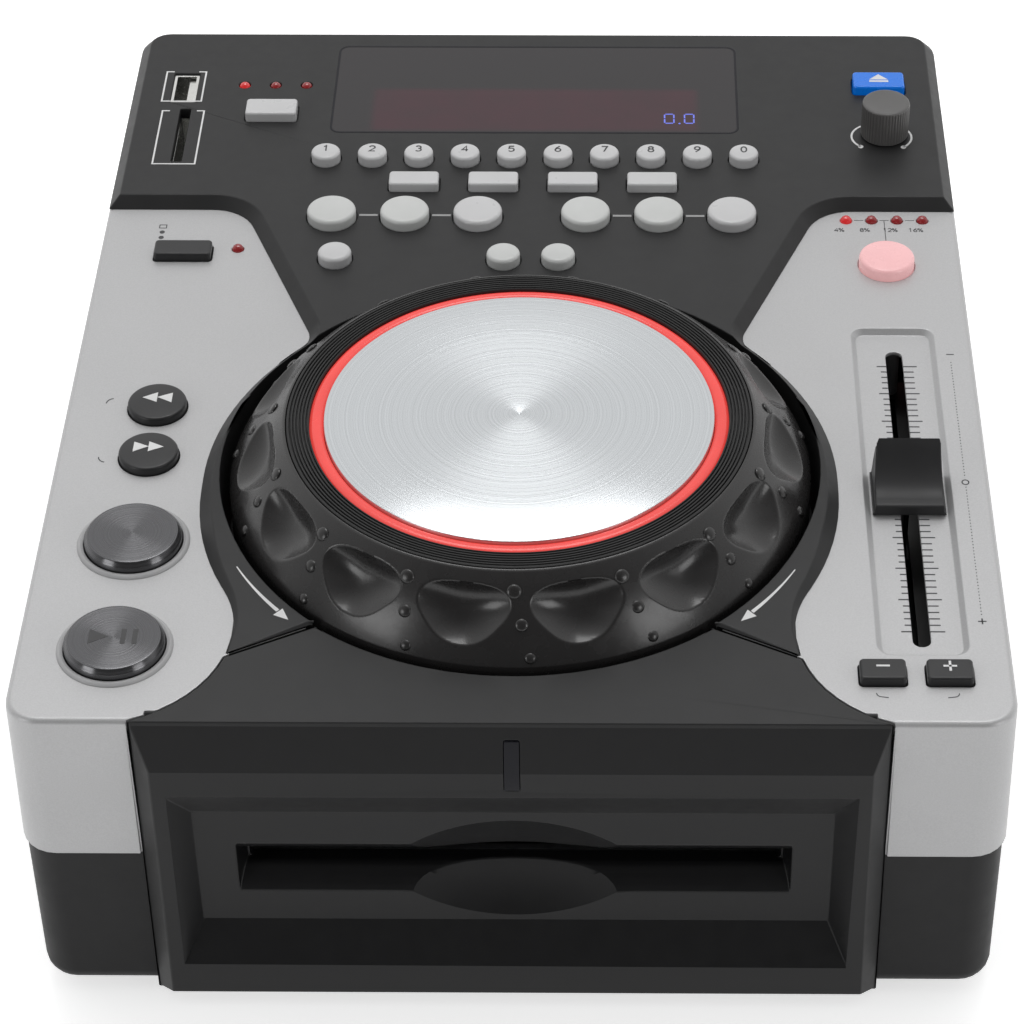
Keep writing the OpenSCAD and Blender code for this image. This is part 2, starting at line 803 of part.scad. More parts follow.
module indicator_leds() {
    color("red") placed() {
        for (xy = panel_leds) {
            led(xy, z_panel - 0.4);
        }
        for (xy = cover_leds) {
            led(xy, z_top + 0.2);
        }
    }
}

module button_rings() {
    color("#b4b4b4") placed() for (k = [0, 1]) {
        translate([-side_x, cue_y - k * start_pitch, z_top]) rotate_extrude() polygon([
            [start_r + button_gap, 0], [start_r + ring_out, 0],
            [start_r + ring_out - 0.3, ring_h - 0.3], [start_r + ring_out - 0.8, ring_h],
            [start_r + button_gap, ring_h - 0.2]]);
    }
}

// ---- front bezel ----

function bezel_face(half_top, half_foot, z0, z1) =
    [[-half_foot, z0], [half_foot, z0], [half_top, z1], [-half_top, z1]];

module sheet_at(y, points) {
    translate([0, y + EPS, 0]) rotate([90, 0, 0]) linear_extrude(EPS) polygon(points);
}

module front_bezel() {
    color("#2f2f2f") placed() {
        difference() {
            union() {
                hull() {
                    sheet_at(-EPS, bezel_face(bezel_top_half_w, bezel_half_w, bezel_z0, z_top));
                    sheet_at(-bezel_out, bezel_face(bezel_top_half_w - bezel_side_bevel,
                        bezel_half_w - bezel_side_bevel, bezel_z0 + bezel_foot_bevel,
                        z_top - bezel_top_bevel));
                }
                block([-plug_half_w, -EPS, plug_z0], [plug_half_w, recess_y + plate_t, z_under + EPS]);
                block([-slot_w / 2 - 5, recess_y, slot_z - scoop_half_h - 2],
                    [slot_w / 2 + 5, tunnel_end, slot_z + scoop_half_h + 2]);
                difference() {
                    prism(apron_outline, z_under, z_top);
                    post(jog_centre, well_r, z_under - 1, z_top + 1);
                }
            }
            bezel_recess();
            slot_channel();
            thumb_scoop();
            light_pipe_shape(pipe_w + 2 * seat_gap, seat_gap);
        }
    }
}

module bezel_recess() {
    translate([0, 0, slot_z + 0.5]) hull() {
        upright(-bezel_out - EPS, -bezel_out) square(2 * [recess_half_w, recess_half_h], center = true);
        upright(recess_y - EPS, recess_y)
            square(2 * [recess_half_w - recess_slope_w, recess_half_h - recess_slope_h], center = true);
    }
}

// the channel's roof and floor bulge inwards on their way from the mouth, at 0, to the slot, at 1
module channel() {
    roof = [for (k = [0:channel_steps])
        let (t = k / channel_steps)
        [recess_y + channel_depth * t, (slot_h + channel_over.y * pow(1 - t, 2)) / 2]];
    floor = [for (k = [channel_steps:-1:0]) [roof[k].x, -roof[k].y]];
    mouth_half = (slot_w + channel_over.x) / 2;
    intersection() {
        translate([-mouth_half, 0, 0]) rotate([90, 0, 90]) linear_extrude(2 * mouth_half)
            polygon(concat([[recess_y - 1, roof[0].y]], roof, floor, [[recess_y - 1, floor[channel_steps].y]]));
        translate([0, 0, -2 * slot_h - channel_over.y]) linear_extrude(4 * slot_h + 2 * channel_over.y)
            polygon([
                [-mouth_half, recess_y - 2], [mouth_half, recess_y - 2], [mouth_half, recess_y],
                [slot_w / 2, recess_y + channel_depth + 1], [-slot_w / 2, recess_y + channel_depth + 1],
                [-mouth_half, recess_y]]);
    }
}

module slot_channel() {
    translate([0, 0, slot_z]) {
        channel();
        upright(recess_y, tunnel_end + 1) polygon(rounded_rect(slot_w, slot_h, 1.2));
    }
}

// a lens-shaped hollow for the fingers, common to two large spheres
module thumb_scoop() {
    off = scoop_circle_r - scoop_half_h;
    back = sqrt(scoop_r * scoop_r - scoop_circle_r * scoop_circle_r);
    intersection() {
        translate([0, recess_y - back, slot_z - off]) sphere(r = scoop_r);
        translate([0, recess_y - back, slot_z + off]) sphere(r = scoop_r);
        block([-40, recess_y - EPS, slot_z - 20], [40, recess_y + channel_depth + 1, slot_z + 20]);
    }
}

// the light pipe lies over the bend between the sloping edge and the front face
module light_pipe_shape(w, grow) {
    slope = bezel_out / bezel_top_bevel;
    z_bend = z_top - bezel_top_bevel;
    z_up = z_bend + 7.5;
    z_low = z_bend - 5;
    proud = grow > 0 ? 1 : pipe_proud;
    depth = 1.6 + grow;
    translate([-w / 2 + 0.2, 0, 0]) rotate([90, 0, 90]) linear_extrude(w) polygon([
        [-bezel_out - proud, z_low - grow], [-bezel_out + depth, z_low - grow],
        [-bezel_out + depth, z_bend - 0.6], [-bezel_out + depth + 7.5 * slope, z_up + grow],
        [-bezel_out - proud + 7.5 * slope, z_up + grow], [-bezel_out - proud, z_bend]]);
}

module slot_light_pipe() {
    color("#15151c") placed() light_pipe_shape(pipe_w, 0);
}

// ---- disc loader ----

module frame_side(sx) {
    difference() {
        block([min(sx * frame_half_w, sx * (frame_half_w - sheet_t)), frame_y0, frame_z0],
            [max(sx * frame_half_w, sx * (frame_half_w - sheet_t)), frame_y1, frame_z1]);
        translate([0, roller_y, roller_z]) rotate([0, 90, 0])
            cylinder(r = roller_shaft_r + run_gap, h = 3 * frame_half_w, center = true);
    }
}

module loader_frame() {
    color("#9a9fa3") placed() union() {
        difference() {
            block([-frame_half_w, frame_y0, frame_z0], [frame_half_w, frame_y1, frame_z0 + sheet_t]);
            for (sx = [-1, 1], k = [1, 2]) {
                post([sx * frame_screw[0], frame_screw[k]], screw_r + run_gap, frame_z0 - 1,
                    frame_z0 + sheet_t + 1);
            }
            post([0, hub_y], spindle_r + run_gap, frame_z0 - 1, frame_z0 + 10);
        }
        frame_side(-1);
        frame_side(1);
        difference() {
            block([-frame_half_w, frame_y0, frame_z1 - sheet_t], [frame_half_w, frame_y1, frame_z1]);
            post([0, hub_y], disc_r - 10, frame_z0, frame_z1 + 1);
        }
        difference() {
            block([-frame_half_w, frame_y0, frame_z0], [frame_half_w, frame_y0 + sheet_t, frame_z1]);
            block([-slot_w / 2, frame_y0 - 1, slot_z - slot_h / 2],
                [slot_w / 2, frame_y0 + sheet_t + 1, slot_z + slot_h / 2]);
        }
        block([-frame_half_w, frame_y1 - sheet_t, frame_z0], [frame_half_w, frame_y1, frame_z1]);
        translate([0, hub_y, 0]) tube(motor_r, spindle_r + run_gap, frame_z0 + sheet_t - EPS,
            frame_z0 + sheet_t + motor_h);
        sled_rods();
    }
}

module sled_rods() {
    y0 = sled_y0 - 1 - rod_post;
    y1 = sled_y0 + sled_size.y + sled_travel + 1;
    z = sled_z + sled_size.z / 2;
    for (sx = [-1, 1]) {
        translate([sx * rod_x, y1 + rod_post, z]) rotate([90, 0, 0])
            cylinder(r = rod_r, h = y1 + rod_post - y0);
        for (y = [y0, y1]) {
            block([sx * rod_x - 3, y, frame_z0 + sheet_t - EPS], [sx * rod_x + 3, y + rod_post, z + 3]);
        }
    }
}

module laser_sled() {
    z = sled_z + sled_size.z / 2;
    color("#303030") placed() difference() {
        union() {
            block([-sled_size.x / 2, sled_y0, sled_z],
                [sled_size.x / 2, sled_y0 + sled_size.y, sled_z + sled_size.z]);
            post([0, sled_y0 + sled_size.y / 2], 4, sled_z, spindle_top - 0.5);
        }
        for (sx = [-1, 1]) {
            translate([sx * rod_x, sled_y0 - 1, z]) rotate([-90, 0, 0])
                cylinder(r = rod_r + run_gap, h = sled_size.y + 2);
        }
    }
}

module disc_spindle() {
    low = frame_z0 + sheet_t + motor_h + fit_gap;
    color("#888888") placed() translate([0, hub_y, 0]) rotate_extrude() polygon([
        [0, frame_z0 + 1], [spindle_r, frame_z0 + 1], [spindle_r, low], [13, low],
        [13, low + 2], [7.4, low + 2], [7.4, spindle_top - 1.5], [5.5, spindle_top], [0, spindle_top]]);
}

module feed_roller() {
    l = slot_w - 2;
    color("#222222") placed() translate([0, roller_y, roller_z]) rotate([0, 90, 0]) union() {
        cylinder(r = roller_r, h = l, center = true);
        cylinder(r = roller_shaft_r, h = 2 * frame_half_w - 0.4, center = true);
    }
}

// ---- pitch fader ----

fader_top = z_top - 16.5;
fader_body_h = 10;
fader_body_w = 12;
fader_ends = [for (s = [-1, 1]) fader_y + s * (fader_slot_l / 2 + 3.6)];
fader_body_l = fader_slot_l + 14;

module fader_body() {
    inner = [8, fader_slot_l + 4];
    color("#8f9296") placed() translate([fader_x, fader_y, 0]) difference() {
        block([-fader_body_w / 2, -fader_body_l / 2, fader_top - fader_body_h],
            [fader_body_w / 2, fader_body_l / 2, fader_top]);
        block([-inner.x / 2, -inner.y / 2, fader_top - fader_body_h + 1],
            [inner.x / 2, inner.y / 2, fader_top - 1]);
        block([-lever_t / 2 - 0.6, -fader_slot_l / 2, fader_top - 2],
            [lever_t / 2 + 0.6, fader_slot_l / 2, fader_top + 1]);
    }
}

// the cap's side: a low lip in front, a round hollow for the finger and a high ridge behind
module pitch_fader_cap() {
    z0 = z_top - fader_recess.z + fit_gap;
    front = -cap_d / 2 - cap_lead;
    back = front + cap_d;
    ridge = 2.3;
    lip_h = 3;
    hollow_r = 12.6;
    hollow = [front + 0.9, z0 + lip_h + hollow_r];
    hollow_end = asin((back - ridge - hollow.x) / hollow_r);
    lean = 3.6;
    color("#1c1c1c") placed() translate([fader_x, fader_y, 0]) {
        difference() {
            translate([-cap_w / 2, 0, 0]) rotate([90, 0, 90]) linear_extrude(cap_w) polygon(concat(
                [[front, z0], [back, z0], [back, z0 + cap_h * 0.5], [back - 0.8, z0 + cap_h - 0.4],
                 [back - ridge + 0.8, z0 + cap_h], [back - ridge, z0 + cap_h - 0.4]],
                arc(hollow, hollow_r, hollow_end - 90, -90, 12), [[front, z0 + lip_h - 0.3]]));
            for (s = [-1, 1]) {
                translate([s * cap_w / 2, 0, z0]) rotate([0, -s * lean, 0])
                    translate([s > 0 ? 0 : -5, front - 1, 0.5]) cube([5, cap_d + 2, 2 * cap_h]);
            }
        }
        block([-lever_t / 2, -lever_d / 2, fader_top - 5], [lever_t / 2, lever_d / 2, z0 + EPS]);
        block([-3, -lever_d / 2, fader_top - 6.5], [3, lever_d / 2, fader_top - 4]);
    }
}

// ---- jog wheel ----

// the skirt's outer line, from the rim down to the foot, bulging a little
skirt_line = [for (i = [0:6])
    let (
        t = i / 6,
        along = skirt_foot - skirt_top,
        out = unit([-along.y, along.x])
    )
    skirt_top + t * along + 4 * t * (1 - t) * skirt_bulge * out];
slope_dir = unit(skirt_foot - skirt_top);
slope_out = [-slope_dir.y, slope_dir.x];

module on_skirt(angle, t) {
    p = skirt_top + t * (skirt_foot - skirt_top) + 4 * t * (1 - t) * skirt_bulge * slope_out;
    translate([jog_centre.x, jog_centre.y, 0]) rotate([0, 0, angle]) translate([p[0], 0, p[1]])
        rotate([0, atan2(slope_out.x, slope_out.y), 0]) children();
}

module jog_skirt() {
    hub_z = z_well + axle_flange_t + fit_gap;
    deck_under = groove_z - 3;
    inner = [jog_r - 3.4, skirt_foot.y - 4];
    color("#3a3a3a") placed() difference() {
        union() {
            translate([jog_centre.x, jog_centre.y, 0]) rotate_extrude($fn = 96) polygon(concat(
                [[axle_r + run_gap, hub_z], [hub_r, hub_z], [hub_r, deck_under],
                 [rim_r - skirt_t, deck_under], inner, [inner.x, skirt_z0], [jog_r, skirt_z0]],
                [for (i = [6:-1:0]) skirt_line[i]],
                [[rim_r + 0.3, z_jog - 0.2], [rim_r, z_jog - 0.4], [rim_r, groove_z],
                 [disc_plate_r, groove_z], [disc_plate_r, deck_z], [axle_r + run_gap, deck_z]]));
            for (k = [0:dimple_count - 1], j = [0:2]) {
                on_skirt(dimple_phase + k * 360 / dimple_count + dot_phase + (j - 1) * 1.5,
                    0.2 + 0.35 * j) translate([0, 0, -1]) cylinder(r = 1.7 - 0.2 * j, h = 1.5, $fn = 24);
            }
        }
        for (k = [0:dimple_count - 1]) {
            on_skirt(dimple_phase + k * 360 / dimple_count, 0.47)
                translate([0, 0, dimple_off]) sphere(r = dimple_r);
        }
    }
}

module jog_grip_ring() {
    r0 = disc_plate_r + light_ring_w + 0.3;
    r1 = rim_r - 0.1;
    z1 = z_jog - 0.1;
    grooves = 5;
    pitch = (r1 - r0 - 1.2) / grooves;
    color("#1d1d1d") placed() translate([jog_centre.x, jog_centre.y, 0])
        rotate_extrude($fn = 96) polygon(concat(
            [[r0, groove_z], [r1, groove_z], [r1, z1 - 0.3], [r1 - 0.3, z1]],
            [for (i = [0:grooves - 1], p = [[0.3, 0], [0.5, -0.5], [0.7, -0.5], [0.9, 0]])
                [r1 - 0.3 - i * pitch - p[0] * 0.8, z1 + p[1]]],
            [[r0, z1]]));
}

module jog_light_ring() {
    r0 = disc_plate_r + seat_gap;
    r1 = disc_plate_r + light_ring_w + 0.2;
    z1 = z_jog - 0.4;
    color("#ff4040") placed() translate([jog_centre.x, jog_centre.y, 0])
        rotate_extrude($fn = 96) polygon(concat(
            [[r0, groove_z], [r1, groove_z]],
            arc([(r0 + r1) / 2, z1 - (r1 - r0) / 2], (r1 - r0) / 2, 0, 180, 8)));
}

module jog_disc() {
    color("#cfd3d6") placed() translate([jog_centre.x, jog_centre.y, deck_z])
        rotate_extrude($fn = 96) polygon([
            [0, 0], [disc_plate_r, 0], [disc_plate_r, disc_plate_t - 0.3],
            [disc_plate_r - 0.3, disc_plate_t], [0.6, disc_plate_t], [0, disc_plate_t - 0.3]]);
}

module jog_axle() {
    color("#a8a8a8") placed() translate([jog_centre.x, jog_centre.y, 0]) union() {
        translate([0, 0, z_well - wall]) cylinder(r = axle_r, h = deck_z - z_well + wall - fit_gap);
        translate([0, 0, z_well]) cylinder(r = axle_flange_r, h = axle_flange_t);
    }
}

// ---- knob, sockets, feet and screws ----

module track_knob() {
    z0 = z_panel + 0.3;
    ribs = 24;
    color("#3c3c3c") placed() translate([knob_pos.x, knob_pos.y, 0]) difference() {
        union() {
            translate([0, 0, z0]) rotate_extrude() polygon([
                [0, 0], [knob_r, 0], [knob_r - 0.3, knob_h - 0.9], [knob_r - 1.1, knob_h],
                [0, knob_h]]);
            translate([0, 0, z_board + 1.5]) cylinder(r = knob_shaft_r, h = z0 - z_board);
        }
        for (i = [0:ribs - 1]) {
            rotate([0, 0, i * 360 / ribs]) translate([knob_r + 0.15, 0, z0 + 2])
                cylinder(r = 0.5, h = knob_h, $fn = 16);
        }
    }
}

// a socket's shell standing on the board, with its mouth at z1
module shell_socket(xy, mouth, z1, tongue) {
    z0 = z_top - 11;
    translate([xy.x, xy.y, 0]) {
        difference() {
            block([-mouth.x / 2 - shell_t, -mouth.y / 2 - shell_t, z_board],
                [mouth.x / 2 + shell_t, mouth.y / 2 + shell_t, z1]);
            block([-mouth.x / 2, -mouth.y / 2, z0], [mouth.x / 2, mouth.y / 2, z1 + 1]);
        }
        block([mouth.x / 2 - tongue.x, -tongue.y / 2, z0 - EPS],
            [mouth.x / 2 + EPS, tongue.y / 2, z1 - 1]);
    }
}

module media_sockets() {
    color("#b9bcc0") placed() {
        shell_socket(usb_pos, [usb_slot_w, usb_l], z_panel - 0.5, [1.9, usb_l - 1.2]);
        shell_socket(card_pos, [card_slot_w, card_l], z_top - seat_gap, [0.6, card_l - 2]);
    }
}

module rear_sockets() {
    color("#1f1f1f") placed() {
        translate([inlet_x, 0, rear_z]) power_inlet();
        translate([rocker_x, 0, rear_z]) rocker_housing();
        for (i = [0:audio_count - 1]) {
            translate([audio_x0 + i * audio_pitch, 0, rear_z]) audio_socket();
        }
        translate([remote_x, 0, rear_z]) round_jack(remote_r, 1.75, 1.5);
    }
}

module power_inlet() {
    difference() {
        union() {
            upright(body_d - inlet_body, body_d + EPS) square(inlet_size, center = true);
            upright(body_d, body_d + 1.5)
                square(inlet_size + 2 * [inlet_flange, inlet_flange], center = true);
        }
        upright(body_d + 1.5 - inlet_depth, body_d + 3) square(inlet_mouth, center = true);
    }
    for (p = [[-7, -2], [7, -2], [0, 2]]) {
        translate([p.x, 0, p.y])
            upright(body_d + 1.5 - inlet_depth - EPS, body_d + 1.5 - inlet_depth + inlet_pin_l)
                square([2, 4], center = true);
    }
}

module rocker_housing() {
    outer = rocker_size + 2 * [rocker_frame, rocker_frame];
    mouth = rocker_size + 2 * [fit_gap, fit_gap];
    difference() {
        union() {
            upright(body_d - rocker_body, body_d + EPS) square(outer, center = true);
            upright(body_d, body_d + 1.2) square(outer + [3, 3], center = true);
        }
        upright(body_d - rocker_body + 2, body_d + 3) square(mouth, center = true);
        translate([0, body_d - 3, 0]) rotate([0, 90, 0])
            cylinder(r = 1.2 + run_gap, h = mouth.x + 2, center = true);
    }
}

module power_rocker() {
    half = rocker_size.y / 2;
    color("#111111") placed() translate([rocker_x, body_d - 3, rear_z]) union() {
        rotate([90, 0, 90]) linear_extrude(rocker_size.x, center = true) polygon([
            [-3, -half + 1.4], [2.2, -half], [3.4, -half + 0.6], [2.6, 0], [3.4, half - 0.6],
            [2.2, half], [-3, half - 1.4]]);
        rotate([0, 90, 0]) cylinder(r = 1.2, h = rocker_size.x + 2 * fit_gap + 1.6, center = true);
    }
}

module audio_socket() {
    round_jack(audio_r, 1.7, audio_out);
}

// a socket's body against the rear wall, its sleeve reaching out through the wall
module round_jack(r, bore, out) {
    difference() {
        union() {
            upright(body_d - wall - jack_body.y - 0.1, body_d - wall - 0.1)
                square([jack_body.x, jack_body.x], center = true);
            upright(body_d - wall - 0.2, body_d + out) circle(r = r);
        }
        upright(body_d - wall - jack_body.y + 2, body_d + out + 1) circle(r = bore);
    }
}

module rubber_feet() {
    color("#151515") placed() {
        for (sx = [-1, 1], y = [foot_inset, body_d - foot_inset]) {
            translate([sx * (half_w - foot_inset), y, 0]) rotate_extrude() polygon([
                [0, 0], [foot_r - 1.5, 0], [foot_r - 0.6, 0.6], [foot_r, foot_h - 0.5],
                [foot_r, foot_h], [0, foot_h]]);
        }
    }
}

module screw(xy, z_head, up, l) {
    translate([xy.x, xy.y, z_head]) mirror([0, 0, up ? 0 : 1]) {
        translate([0, 0, -screw_head_h]) cylinder(r = screw_head_r, h = screw_head_h);
        translate([0, 0, -EPS]) cylinder(r = screw_r, h = l);
    }
}

module case_screws() {
    color("#303030") placed() {
        for (p = screw_xy) {
            screw(p, z_tray + 8, true, tray_h);
        }
        for (sx = [-1, 1], k = [1, 2]) {
            screw([sx * frame_screw[0], frame_screw[k]], frame_z0 + sheet_t, false, 10);
        }
    }
}

base_tray();
top_cover();
control_panel();
front_bezel();
slot_light_pipe();
display_window();
control_boards();
button_rings();
indicator_leds();
main_board();
loader_frame();
feed_roller();
disc_spindle();
laser_sled();
fader_body();
pitch_fader_cap();
media_sockets();
rear_sockets();
power_rocker();
rubber_feet();
case_screws();
jog_axle();
jog_skirt();
jog_grip_ring();
jog_light_ring();
jog_disc();
track_knob();
for (b = BUTTONS) {
    button(b);
}
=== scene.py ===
"""Looks of the tabletop disc player: finishes, softened mouldings, jog wheel, keys, print and lamps."""
import json
import math
import bmesh
import bpy
import numpy as np
from mathutils import Matrix, Vector

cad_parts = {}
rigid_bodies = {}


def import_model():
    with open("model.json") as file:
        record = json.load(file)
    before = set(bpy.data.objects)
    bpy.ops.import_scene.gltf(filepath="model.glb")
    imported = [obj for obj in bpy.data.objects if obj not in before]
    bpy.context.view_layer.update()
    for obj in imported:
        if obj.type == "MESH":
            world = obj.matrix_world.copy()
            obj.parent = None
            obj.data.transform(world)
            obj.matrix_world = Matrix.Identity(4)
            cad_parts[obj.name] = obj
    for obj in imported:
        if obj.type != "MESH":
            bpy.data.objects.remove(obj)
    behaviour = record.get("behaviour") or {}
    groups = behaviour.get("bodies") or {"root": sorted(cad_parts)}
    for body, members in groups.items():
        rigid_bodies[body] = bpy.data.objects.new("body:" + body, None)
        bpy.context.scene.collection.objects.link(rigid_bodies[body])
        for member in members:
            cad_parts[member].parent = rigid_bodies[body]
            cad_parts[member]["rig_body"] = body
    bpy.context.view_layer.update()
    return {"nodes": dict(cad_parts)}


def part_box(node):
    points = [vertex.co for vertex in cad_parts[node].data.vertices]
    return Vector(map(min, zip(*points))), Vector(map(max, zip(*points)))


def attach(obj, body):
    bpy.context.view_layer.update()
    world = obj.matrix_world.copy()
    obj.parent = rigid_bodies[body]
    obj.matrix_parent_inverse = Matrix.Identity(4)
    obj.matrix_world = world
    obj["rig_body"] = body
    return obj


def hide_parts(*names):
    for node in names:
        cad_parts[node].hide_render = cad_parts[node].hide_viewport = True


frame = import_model()

MM = 0.001

# the case's front wall stands at Y = 0 in its own frame, and this takes a point from there to the machine's
FRONT_TO_MIDDLE = -140.425
Z_COVER = 88.3
Z_PANEL = 91.3
Z_JOG = 105.6
JOG_CENTRE = (0.0, 86.0)
WING_HINGE_Y = 62.0
WING_FALL = 0.0690
RECESS_DEPTH = 1.4
PRINT_T = 0.04

# places on the panel and the cover, in millimetres of the case's frame
STATUS_LAMP = (-80.0, 248)
RANGE_LAMPS = [(82.3 + 6.63 * i, 188.8) for i in range(4)]
# the cover is painted near-black, as painted shade, within SEAM_HALF_W to either side and in front of
# SEAM_BACK_Y
SEAM_HALF_W = 63.2
SEAM_BACK_Y = 40
RANGE_LINKS_X = (85.6, 92.25, 98.9)
LOOP_MIDDLES = (-32.7, 33.3)
LOOP_LINK_Y = 186.3
WINDOW_CORNERS = ((52.4, 227.4), (52.4, 265.1), (-52.4, 265.1), (-52.4, 227.4))
DISPLAY_FIELD = ((-44, 226), (44, 246))
DISPLAY_DIGITS_X = (35.2, 40.6)
DISPLAY_DIGITS_Y = 229.6
KNOB_ARCS = (((91.35, 223.3), 114, 231), ((95.45, 223.3), 30, -54))
SOCKET_FRAMES = ((-102.0, 239.75, -91.2, 254.4), (-101.2, 209.55, -89.9, 235.0))
SEARCH_ARCS = (((-99.6, 111.0), 100, 180), ((-98.9, 90.4), 180, 260))
JOG_MODE_MARK_X = -95.8
BEND_MIDDLE = (89.2, 9.9)
FADER_SLOT_X = 91.4
FADER_SLOT_HALF_W = 2.05
FADER_SCALE_Y = 31.4
FADER_TICKS = 46
FADER_TICK_PITCH = 2.156
SIDE_SCALE_X = 105.2
SIDE_SCALE_Y = 35.7
SIDE_SCALE_ZERO_Y = 82.2


def at(x, y, z):
    """A point of the case's frame, in millimetres, as metres in the machine's frame."""
    return Vector((x, y + FRONT_TO_MIDDLE, z)) * MM


# ---------------------------------------------------------------- finishes

def bare_tree(holder):
    """The holder's own node tree, emptied."""
    holder.use_nodes = True
    holder.node_tree.nodes.clear()
    return holder.node_tree


def new_finish(name):
    material = bpy.data.materials.new(name)
    tree = bare_tree(material)
    shader = add(tree, "ShaderNodeBsdfPrincipled")
    add(tree, "ShaderNodeOutputMaterial", {"Surface": shader.outputs["BSDF"]})
    return material, tree, shader


def wire(tree, node, inputs):
    """Sets a node's inputs to values, or links them to other nodes' outputs."""
    for name, value in inputs.items():
        if isinstance(value, bpy.types.NodeSocket):
            tree.links.new(value, node.inputs[name])
        else:
            node.inputs[name].default_value = value


def add(tree, kind, inputs=None, **settings):
    node = tree.nodes.new(kind)
    for key, value in settings.items():
        setattr(node, key, value)
    wire(tree, node, inputs or {})
    return node


def math_node(tree, operation, a, b=None):
    inputs = {0: a} if b is None else {0: a, 1: b}
    return add(tree, "ShaderNodeMath", inputs, operation=operation).outputs[0]


def object_point(tree):
    return add(tree, "ShaderNodeTexCoord").outputs["Object"]


def object_axes(tree):
    """The shaded point's place along X, Y and Z."""
    return add(tree, "ShaderNodeSeparateXYZ", {0: object_point(tree)}).outputs


def noise(tree, feature_mm, detail, stretch=None):
    """Noise whose features are about feature_mm across, from 0 to 1."""
    point = object_point(tree)
    if stretch:
        point = add(tree, "ShaderNodeMapping", {"Vector": point, "Scale": stretch}).outputs["Vector"]
    return add(tree, "ShaderNodeTexNoise", {
        "Vector": point, "Scale": 1.0 / (feature_mm * MM), "Detail": detail}).outputs["Fac"]


def spread(tree, value, low, high, start=0.3, end=0.7, **settings):
    """The value, mapped from start and end to low and high; noise lies mostly between 0.3 and 0.7."""
    return add(tree, "ShaderNodeMapRange", {
        "Value": value, "From Min": start, "From Max": end, "To Min": low, "To Max": high},
        **settings).outputs["Result"]


def base_colour(tree, shader, first, second, factor):
    """Base colour mixed from two, each a colour or a socket; returns the mixed socket."""
    first, second = (tuple(min(1, c) for c in side) + (1,) if isinstance(side, tuple) else side
                     for side in (first, second))
    mix = add(tree, "ShaderNodeMix", {"A": first, "B": second, "Factor": factor}, data_type="RGBA")
    wire(tree, shader, {"Base Color": mix.outputs["Result"]})
    return mix.outputs["Result"]


def scaled(colour, by):
    return tuple(c * by for c in colour)


def mottled(tree, shader, colour, share, feature_mm):
    """Base colour that drifts a little lighter and darker over the surface."""
    drift = spread(tree, noise(tree, feature_mm, 3), 0, 1)
    return base_colour(tree, shader, scaled(colour, 1 - share), scaled(colour, 1 + share), drift)


def drifting_gloss(tree, shader, rough, by, feature_mm, detail, stretch=None):
    """Roughness that drifts over the surface, by a little to either side."""
    drift = noise(tree, feature_mm, detail, stretch)
    wire(tree, shader, {"Roughness": spread(tree, drift, rough - by, rough + by)})


def grained(tree, shader, feature_mm, depth_mm, height=None):
    """A bumpy surface, by its own noise or by a given height from 0 to 1."""
    if height is None:
        height = noise(tree, feature_mm, 2)
    bump = add(tree, "ShaderNodeBump", {"Height": height, "Strength": 1.0, "Distance": depth_mm * MM})
    wire(tree, shader, {"Normal": bump.outputs["Normal"]})


def moulded_plastic(name, colour, rough, grain_mm=0.35, grain_depth=0.006, drift=0.06, coat=0.0,
                    level=0.5):
    """Moulded plastic with a fine spark-eroded grain and slight changes of gloss."""
    material, tree, shader = new_finish(name)
    mottled(tree, shader, colour, drift, 9)
    drifting_gloss(tree, shader, rough, 0.035, 3.5, 4)
    grained(tree, shader, grain_mm, grain_depth)
    wire(tree, shader, {"Specular IOR Level": level, "IOR": 1.48})
    if coat:
        wire(tree, shader, {"Coat Weight": coat, "Coat Roughness": 0.12})
    return material


def silver_paint():
    """Satin silver paint: fine metal flakes in a clear binder; near-black under the panel's seams, as
    painted shade that makes the gaps there read dark.
    """
    material, tree, shader = new_finish("satin_silver_paint_and_seam_shade")
    paint = mottled(tree, shader, (0.475, 0.475, 0.48), 0.05, 0.35)
    place = object_axes(tree)
    # painted shade: near-black over the cover where it shows through the panel's seams, in place of the
    # shadow in those gaps
    beside = math_node(tree, "LESS_THAN", math_node(tree, "ABSOLUTE", place["X"]), SEAM_HALF_W * MM)
    before = math_node(tree, "LESS_THAN", place["Y"], at(0, SEAM_BACK_Y, 0).y)
    base_colour(tree, shader, paint, (0.012, 0.012, 0.012), math_node(tree, "MULTIPLY", beside, before))
    wire(tree, shader, {"Metallic": 0.35})
    drifting_gloss(tree, shader, 0.40, 0.04, 14, 3)
    grained(tree, shader, 0.3, 0.004)
    return material


def turned_metal(name, centre, colour, rough, anisotropy, ring_mm, ring_depth):
    """Metal spun on a lathe: rings round the centre, and a highlight that fans out from it."""
    material, tree, shader = new_finish(name)

    def vector_node(operation, *inputs):
        return add(tree, "ShaderNodeVectorMath", dict(enumerate(inputs)), operation=operation)

    from_axis = vector_node("SUBTRACT", object_point(tree), at(*centre, 0)).outputs["Vector"]
    spoke = vector_node("MULTIPLY", from_axis, (1, 1, 0)).outputs["Vector"]
    turned = add(tree, "ShaderNodeVectorTransform", {"Vector": spoke}, vector_type="VECTOR",
                 convert_from="OBJECT", convert_to="WORLD").outputs["Vector"]
    rings = add(tree, "ShaderNodeTexNoise", {
        "W": vector_node("LENGTH", spoke).outputs["Value"], "Scale": 1.0 / (ring_mm * MM), "Detail": 3},
        noise_dimensions="1D").outputs["Fac"]
    base_colour(tree, shader, scaled(colour, 0.93), scaled(colour, 1.05), spread(tree, rings, 0, 1))
    wire(tree, shader, {
        "Metallic": 1.0, "Roughness": spread(tree, rings, rough - 0.04, rough + 0.04),
        "Anisotropic": anisotropy, "Tangent": vector_node("NORMALIZE", turned).outputs["Vector"]})
    grained(tree, shader, ring_mm, ring_depth, rings)
    return material


